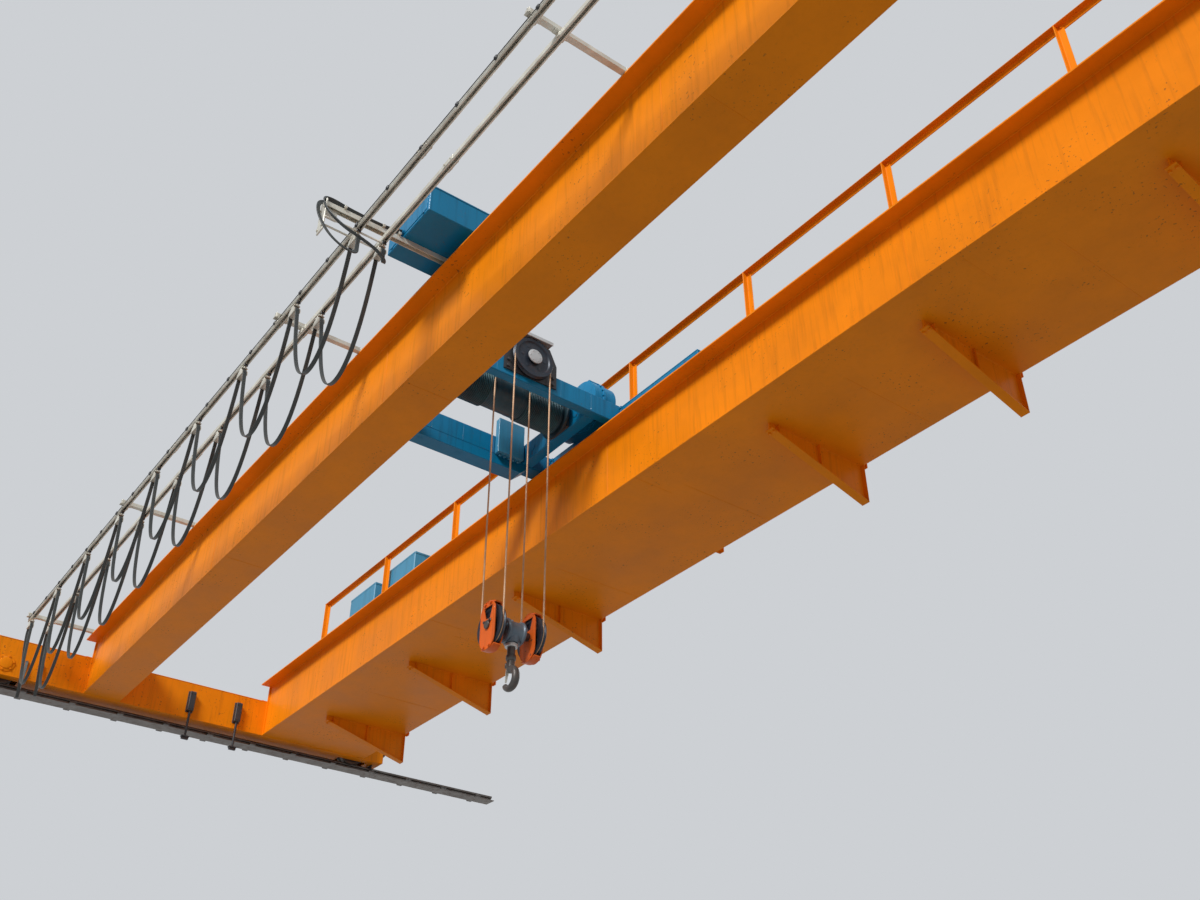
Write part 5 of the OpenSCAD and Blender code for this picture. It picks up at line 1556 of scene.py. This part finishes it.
def makeWalkway(s):
    x0, x1, y0, y1, z0, z1 = s["deck"]
    toe0, toe1, toeZ = s["toe"]
    # seams between deck sheets, stitch welds of the toe board, strips that join its lengths
    parts = []
    for x in np.arange(*s["seams"]):
        parts.append(bar((x - 0.004, y0 + 0.002, z0 - 0.0016), (x + 0.004, y1 - 0.002, z1 + 0.0016), 0.001))
    xs = np.arange(0.42, 13.0, 0.40)
    parts.append(placed(rod((0, 0, 0), (0.10, 0, 0), 0.004, 8), spread(xs, toe0, z1)))
    for x in s["splices"]:
        parts.append(bar((x - 0.06, toe1 - 0.0115, z1 + 0.015), (x + 0.06, toe0 + 0.0005, toeZ - 0.01),
                         0.001))
    piece("deckSeams", parts, "bridge", "orange_paint")
    # brackets: deep at the outer edge, thin where they pass under the girder's flange
    deep, thin, t = *[z0 - v for v in s["bracket"]], 0.008
    a, b = 1.130, toe1
    ribY, ribDeep = s["ribs"]
    parts = []
    inner = b - 0.003
    web = [(a + 0.001, thin + 0.002), (inner, deep + 0.002), (inner, z0), (a + 0.001, z0)]
    parts.append(gridPart(np.array([[(x, y, z) for y, z in web] for x in (-0.004, 0.004)])))
    low = [(a, thin), (inner, deep), (inner, deep + t), (a, thin + t)]
    parts.append(gridPart(np.array([[(x, y + i, z + j) for y, z in low] for x, i, j in
                                    ((-0.035, 0, 0.001), (-0.034, 0, 0), (0.034, 0, 0),
                                     (0.035, 0, 0.001))])))
    slope = (thin - deep) / (a - b)
    for side in (-1, 1):
        parts.append(tube([(side * 0.004, a + 0.02, thin + t + slope * 0.02),
                           (side * 0.004, b - 0.01, deep + t - slope * 0.01)], 0.004, 8))
        parts.append(rod((side * 0.004, a + 0.06, z0), (side * 0.004, b - 0.01, z0), 0.004, 8))
        parts.append(bolts((0.019, 0.010, 0.025),
                           [(side * 0.022, a + 0.028, thin + slope * 0.028 + 0.0006)], downAxes))
    parts.append(bars([((-0.036, b - 0.006, deep - 0.001), (0.036, b, z0)),
                       ((-0.034, a + 0.075, thin - 0.018), (0.034, a + 0.081, z0 - 0.001)),
                       ((-0.030, ribY, z0 - ribDeep), (0.030, ribY + 0.006, z0 - 0.001))], 0.001))
    one = merged(parts)
    xs = np.delete(s["rails"], s["bare"])
    zero = np.zeros(len(xs))
    piece("walkwayBrackets", placed(one, np.column_stack([xs, zero, zero])), "bridge", "orange_paint",
          "walkway_brackets")
    # handrails: posts and rails of steel angle, a bolt where they cross
    leg, thick = s["leg"], s["thick"]
    o = angleOutline(leg, thick)

    def post(x, y, za, zb):
        # corner of the angle at (x - leg / 2, y), legs to +X and to -Y
        pts = np.column_stack([x - leg / 2 + o[:, 1], y - o[:, 0]])
        return plate(pts, za, zb)

    def rail(xa, xb, y, z):
        pts = np.column_stack([y + s["joint"] + thick - o[:, 0], z - o[:, 1]])
        return gridPart(np.array([[(x, q[0], q[1]) for q in pts] for x in (xa, xb)]))

    xs = np.array(s["rails"])
    y, knee0, knee1, top = s["outerRail"]
    play = s["joint"]
    parts = [post(x, y, z0, top - thick - play) for x in xs]
    parts.append(rail(xs[0] - leg, xs[-1] + leg, y, top))
    parts.append(bars([((xs[0] - leg, y + play, knee0), (xs[-1] + leg, y + play + thick, knee1))], 0.001))
    for z in (0.6305, 1.166):
        parts.append(bolts((0.013, 0.0045, 0.016), [(x + 0.008, y - thick, z) for x in xs], backYAxes))
    for z in (0.135, 0.185):
        parts.append(bolts((0.016, 0.0055, 0.020), [(x + 0.008, y, z) for x in xs], alongYAxes))
        parts.append(bars([((x - 0.020, 2.0905, z - 0.012), (x - 0.002, y - 0.002, z + 0.012)) for x in xs],
                          0.001))
    piece("walkwayHandrail", parts, "bridge", "orange_paint", "walkway_handrail")
    xs = np.array(s["posts"])
    y, low, top = s["girderRail"]
    parts = [post(x, y, low, top - thick - play) for x in xs]
    parts.append(rail(xs[0] - leg, xs[-1] + leg, y, top))
    parts.append(bolts((0.013, 0.0045, 0.016), [(x + 0.008, y - thick, top - 0.027) for x in xs],
                       backYAxes))
    parts.append(bars([((x - 0.035, y - 0.062, 0.6885), (x + 0.040, y + 0.010, 0.697)) for x in xs], 0.002))
    parts.append(bolts((0.016, 0.008, 0.020), [(x + 0.024, y - 0.034, 0.6965) for x in xs]))
    piece("girderHandrail", parts, "bridge", "orange_paint", "girder_handrail")


def makeCabinets(s):
    wide, y0, y1, z0, z1 = s["cabinet"]
    inset, foot = s["plinth"]
    count, pitch = s["louvres"]
    parts = [bar((inset, y0 + inset, foot), (wide - inset, y1 - inset, z0), 0.002)]
    parts.append(bar((0.004, y0, z0), (wide - 0.004, y1 - 0.020, z1 - 0.022), 0.008))
    parts.append(bar((0, y0, z1 - 0.030), (wide, y1, z1), 0.006))
    dark = []
    for k in (0, 1):
        a, b = 0.012 + 0.290 * k, 0.298 + 0.290 * k
        parts.append(bar((a, y1 - 0.022, z0 + 0.012), (b, y1 - 0.004, z1 - 0.042), 0.005))
        hx = a + 0.006 if k == 0 else b - 0.006
        for z in (z0 + 0.14, (z0 + z1) / 2, z1 - 0.18):
            parts.append(rod((hx, y1 - 0.007, z - 0.035), (hx, y1 - 0.007, z + 0.035), 0.0065, 12, 0.001))
        c = b - 0.035 if k == 0 else a + 0.035
        dark.append(bars([((c - 0.010, y1 - 0.005, 0.87), (c + 0.010, y1 - 0.001, 1.03)),
                          ((c - 0.006, y1 - 0.002, 0.90), (c + 0.006, y1, 1.00))], 0.002))
        m = (a + b) / 2
        for q in range(count):
            zz = z0 + 0.10 + q * pitch
            tri = [(y1 - 0.006, zz), (y1 - 0.0005, zz + 0.002), (y1 - 0.006, zz + 0.014)]
            parts.append(gridPart(np.array([[(x, yy, z) for yy, z in tri] for x in (m - 0.07, m + 0.07)])))
    for x in (0.06, wide - 0.06):
        for y in (y0 + 0.06, y1 - 0.06):
            parts.append(rod((x, y, z1 - 0.004), (x, y, z1 - 0.0002), 0.018, 16, 0.001))
    for side, x in ((-1, 0.004), (1, wide - 0.004)):
        parts.append(plate(roundBox(0.20, 0.26, 0.01), 0, 0.003, alongXAxes if side > 0 else backXAxes,
                           (x, (y0 + y1) / 2 - 0.01, z1 - 0.24)))
    one, catch = merged(parts), merged(dark)
    at = [(x, 0, 0) for x in s["cabinets"]]
    piece("controlCabinets", placed(one, at), "bridge", "cabinet_paint", "control_cabinets")
    piece("cabinetHandles", placed(catch, at), "bridge", "cabinet_paint", look=materials["black_paint"])


makeWalkway(walkSettings)
makeCabinets(walkSettings)
print("walkway made")


# Festoon: arms, tracks with their couplers and clips, carriers
festoonSettings = {
    "arms": (0.380, 3.160, 6.325, 9.490, 13.040),
    "armY": (-1.955, -1.085),
    "z": (0.649, 0.689, 0.729),
    "tracks": (-1.730, -1.915),
    "x": (0.340, 13.100),
    "wall": 0.003,
    "slot": 0.009,
    "half": 0.020,
}


def makeFestoon(s):
    z0, z1, z2 = s["z"]
    ya, yb = s["armY"]
    h, t, g = s["half"], s["wall"], s["slot"]
    parts = []
    for x in s["arms"]:
        parts.append(bar((x - h, ya + 0.004, z1), (x + h, yb, z2), 0.004))
        parts.append(bar((x - h - 0.001, ya, z1), (x + h + 0.001, ya + 0.005, z2), 0.001))
        # clips on the girder's flange
        for side in (-1, 1):
            parts.append(bar((x + side * 0.021, -1.290, z1), (x + side * 0.060, -1.190, z1 + 0.010), 0.002))
            parts.append(bar((x + side * 0.021, -1.290, z1 + 0.008), (x + side * 0.027, -1.190, z1 + 0.034),
                             0.001))
            parts.append(bolts((0.018, 0.010, 0.024), [(x + side * 0.044, -1.24, z1 + 0.0095)]))
        # hangers that hold both tracks up against the arm
        for y in s["tracks"]:
            for side in (-1, 1):
                parts.append(bar((x - 0.018, y + side * (h + 0.0005), z0 + 0.004),
                                 (x + 0.018, y + side * (h + 0.005), z1 + 0.002), 0.001))
                parts.append(bar((x - 0.018, y + side * (h + 0.0005), z1 - 0.004),
                                 (x + 0.018, y + side * (h + 0.030), z1 - 0.0005), 0.001))
            parts.append(bolts((0.013, 0.006, 0.018), [(x, y + q, z2 - 0.0005) for q in (-0.034, 0.034)]))
    piece("festoonArms", parts, "bridge", "zinc", "festoon_arms")
    # C profile with round corners and lips that turn up beside the slot
    outer = [(g, z0), (h - 0.003, z0), (h, z0 + 0.003), (h, z1 - 0.003), (h - 0.003, z1)]
    inner = [(h - 0.003, z1 - t), (h - t, z1 - 0.006), (h - t, z0 + 0.006), (h - 0.006, z0 + t),
             (g, z0 + t)]
    loop = np.array(outer + [(-a, b) for a, b in outer[::-1] + inner[::-1]] + inner)
    parts = []
    for y in s["tracks"]:
        p = np.array([[(x, y + a, b) for a, b in loop] for x in (s["x"][0], s["x"][1])])
        parts.append(gridPart(p))
        for x in np.arange(2.34, 13.0, 2.0):
            for side in (-1, 1):
                parts.append(bar((x - 0.06, y + side * h, z0 + 0.002),
                                 (x + 0.06, y + side * (h + 0.0035), z1 - 0.002), 0.001))
                parts.append(bolts((0.010, 0.005, 0.013),
                                   [(x + q, y + side * (h + 0.0032), (z0 + z1) / 2)
                                    for q in (-0.035, 0.035)],
                                    outward(side)))
        for x in s["x"]:
            inside = x + (0.004 if x < 1 else -0.004)
            parts.append(bar((x, y - h - 0.001, z0 - 0.002), (inside, y + h + 0.001, z1), 0.001))
    piece("festoonTracks", parts, "bridge", "zinc", "festoon_tracks")
    # dark clips along the outer track that keep a thin control wire
    xs = np.arange(0.55, 13.0, 0.41)
    y = s["tracks"][1]
    clip = merged([bar((-0.012, y - h - 0.010, z0 + 0.008), (0.012, y - h - 0.0002, z1 - 0.004), 0.002),
                   bar((-0.010, y - h - 0.013, z0 + 0.014), (0.010, y - h - 0.008, z0 + 0.026), 0.001)])
    clips = placed(clip, np.column_stack([xs, 0 * xs, 0 * xs]))
    wire = rod((0.36, y - h - 0.006, z0 + 0.020), (13.08, y - h - 0.006, z0 + 0.020), 0.003, 8)
    piece("trackClips", [clips, wire], "bridge", "zinc", look=materials["black_paint"])


def hangerParts(rollers=True):
    # one carrier about x = 0, y = 0: body in the track, hanger plate, clamp and round saddle below
    z, r = 0.559, 0.045
    parts, dark = [], []
    if rollers:
        for x in (-0.034, 0.034):
            for side in (-1, 1):
                dark.append(placed(lathe([(0.003, 0.0), (0.0118, 0.0005), (0.0125, 0.002), (0.0125, 0.0062),
                                          (0.011, 0.0068)], 20),
                                   [(x, side * 0.0045, 0.6648)], outward(side)))
        parts.append(bar((-0.050, -0.0042, 0.6530), (0.050, 0.0042, 0.6680), 0.001))
        for side in (-1, 1):
            dark.append(bar((side * 0.040, -0.015, 0.6285), (side * 0.0500, 0.015, 0.6480), 0.003))
    else:
        parts.append(bar((-0.050, -0.015, 0.6525), (0.050, 0.015, 0.6850), 0.002))
        parts.append(bolts((0.013, 0.006, 0.016), [(x, 0, 0.6480) for x in (-0.035, 0.035)], downAxes))
    parts.append(bar((-0.025, -0.003, 0.6200), (0.025, 0.003, 0.6560), 0.001))
    parts.append(bar((-0.032, -0.023, 0.6174), (0.032, 0.023, 0.6234), 0.0015))
    for side in (-1, 1):
        parts.append(bar((-0.015, side * 0.017, z), (0.015, side * 0.0224, 0.6225), 0.001))
        parts.append(bolts((0.010, 0.004, 0.012), [(x, side * 0.0125, 0.6232) for x in (-0.024, 0.024)]))
        # cheek of the saddle: half disc with a rim, its outer edge proud of the cable
        a = np.linspace(-0.17, math.pi + 0.17, 25)
        p = np.array([[(k * math.cos(b), side * q, z + k * math.sin(b)) for b in a]
                      for k, q in ((r - 0.001, 0.0168), (r + 0.006, 0.0172), (r + 0.006, 0.0222),
                                   (r + 0.002, 0.0228))])
        p = p[::-1] if side > 0 else p
        parts.append(gridPart(p))
    a = np.linspace(-0.17, math.pi + 0.17, 25)
    p = np.array([[(r * math.cos(b), q, z + r * math.sin(b)) for b in a] for q in (-0.0170, 0.0170)])
    parts.append(gridPart(p[::-1]))
    return merged(parts), (merged(dark) if dark else None)


def makeCarriers(s):
    first, pitch = cableSettings["first"], cableSettings["pitch"]
    names = ["festoon_end_clamp"] + [f"cable_carrier_{i}" for i in range(1, 8)] + ["cable_tow_carrier"]
    bodies = ["bridge"] + [f"carrier_{i}" for i in range(1, 8)] + ["tow_carrier"]
    for i, (name, body) in enumerate(zip(names, bodies)):
        metal, dark = hangerParts(i > 0)
        at = [(first + i * pitch, y, 0) for y in s["tracks"]]
        title = ["endClamp", *[f"cableCarrier{k}" for k in range(1, 8)], "towCarrier"][i]
        piece(title, placed(metal, at), body, "zinc", name)
        if dark:
            piece(title + "Rollers", placed(dark, at), body, "zinc", look=materials["black_paint"])


makeFestoon(festoonSettings)
makeCarriers(festoonSettings)
print("festoon made")


# Runway rails: worn head, web and foot, with clips that hold the foot down
runwaySettings = {
    "half": 4.0,           # half the length
    # outline from the foot's edge to the middle of the head (across, up)
    "side": ((0.0875, 0), (0.0875, 0.006), (0.0865, 0.0075), (0.030, 0.0125), (0.020, 0.0145),
             (0.0145, 0.019),
             (0.0125, 0.025), (0.012, 0.030), (0.012, 0.040), (0.0135, 0.0445), (0.018, 0.0475),
             (0.0315, 0.0512),
             (0.0325, 0.053), (0.0325, 0.068), (0.0315, 0.0715), (0.0285, 0.074), (0.024, 0.075)),
    "clips": 0.5,          # distance between the clips on the foot
    "worn": 0.021,         # half the width of the bright band that the wheels keep
}


def makeRunway(s):
    right = np.array(s["side"])
    outline = np.concatenate([right, (right * (-1, 1))[::-1]])
    ys = np.arange(-s["half"] + 0.25, s["half"], s["clips"])
    spots = np.column_stack([0 * ys, ys, 0 * ys])
    clip = [bar((0.0880, -0.032, 0), (0.122, 0.032, 0.016), 0.002),
            bar((0.066, -0.030, 0.0095), (0.112, 0.030, 0.0190), 0.002),
            bolts((0.024, 0.013, 0.034), [(0.104, 0, 0.0185)])]
    for name, x in (("farRunwayRail", 0.0), ("nearRunwayRail", spanX)):
        p = np.array([np.column_stack([x + outline[:, 0], np.full(len(outline), y), outline[:, 1]])[::-1]
                      for y in (-s["half"], s["half"])])
        piece(name, gridPart(p), "runway", "rail_steel",
              "far_runway_rail" if x == 0 else "near_runway_rail")
        piece(name + "Clips", moved(bothSides(placed(merged(clip), spots), 0), (x, 0, 0)), "runway",
              "rail_steel", look=materials["forged_steel"])
        piece(name + "Band", bar((x - s["worn"], -s["half"] + 0.002, 0.0745),
                                 (x + s["worn"], s["half"] - 0.002, 0.0751), 0.0002),
              "runway", "rail_steel", look=paleLook)


makeRunway(runwaySettings)


# Floor, light and background
stageSettings = {
    "floorZ": -6.5,
    "pale": srgb(205, 208, 212),
    "sun": 3.0,
    "sky": 0.38,
    "fill": 0.22,
}


def makeStage(s):
    m = bpy.data.materials.new("floor")
    m.use_nodes = True
    shader = m.node_tree.nodes["Principled BSDF"]
    path = m.node_tree.nodes.new("ShaderNodeLightPath").outputs
    shown = math2(m.node_tree, "MAXIMUM", path["Is Camera Ray"], path["Is Glossy Ray"])
    m.node_tree.links.new(blendColour(m.node_tree, shown, (0.3, 0.3, 0.3, 1), (0.62, 0.62, 0.62, 1)),
                          shader.inputs["Base Color"])
    shader.inputs["Roughness"].default_value = 0.9
    floor = piece("floorPlane",
                  (np.array([(x * 90.0, y * 90.0, s["floorZ"]) for x,
                             y in ((-1, -1), (1, -1), (1, 1), (-1, 1))]),
                                 [np.array([[0, 1, 2, 3]])]), None, None, look=m, smooth=0)
    world = bpy.data.worlds.new("paleWorld")
    world.use_nodes = True
    scene.world = world
    t = world.node_tree
    back = t.nodes["Background"]
    path = t.nodes.new("ShaderNodeLightPath").outputs
    seen = math2(t, "MAXIMUM", math2(t, "MAXIMUM", path["Is Camera Ray"], path["Is Glossy Ray"]),
                 path["Is Transmission Ray"])
    t.links.new(blendColour(t, seen, (s["sky"],) * 3 + (1,), s["pale"]), back.inputs["Color"])
    for name, energy, size, turn in (("keySun", s["sun"], 18, (52, 0, 28)),
                                     ("fillSun", s["sun"] * s["fill"], 40, (118, 0, 40)),
                                     ("backSun", s["sun"] * 0.25, 40, (60, 0, 200))):
        lamp = bpy.data.lights.new(name, "SUN")
        lamp.energy = energy
        lamp.angle = math.radians(size)
        obj = bpy.data.objects.new(name, lamp)
        obj.rotation_euler = [math.radians(v) for v in turn]
        scene.collection.objects.link(obj)


makeStage(stageSettings)
scene.view_settings.view_transform = "Standard"
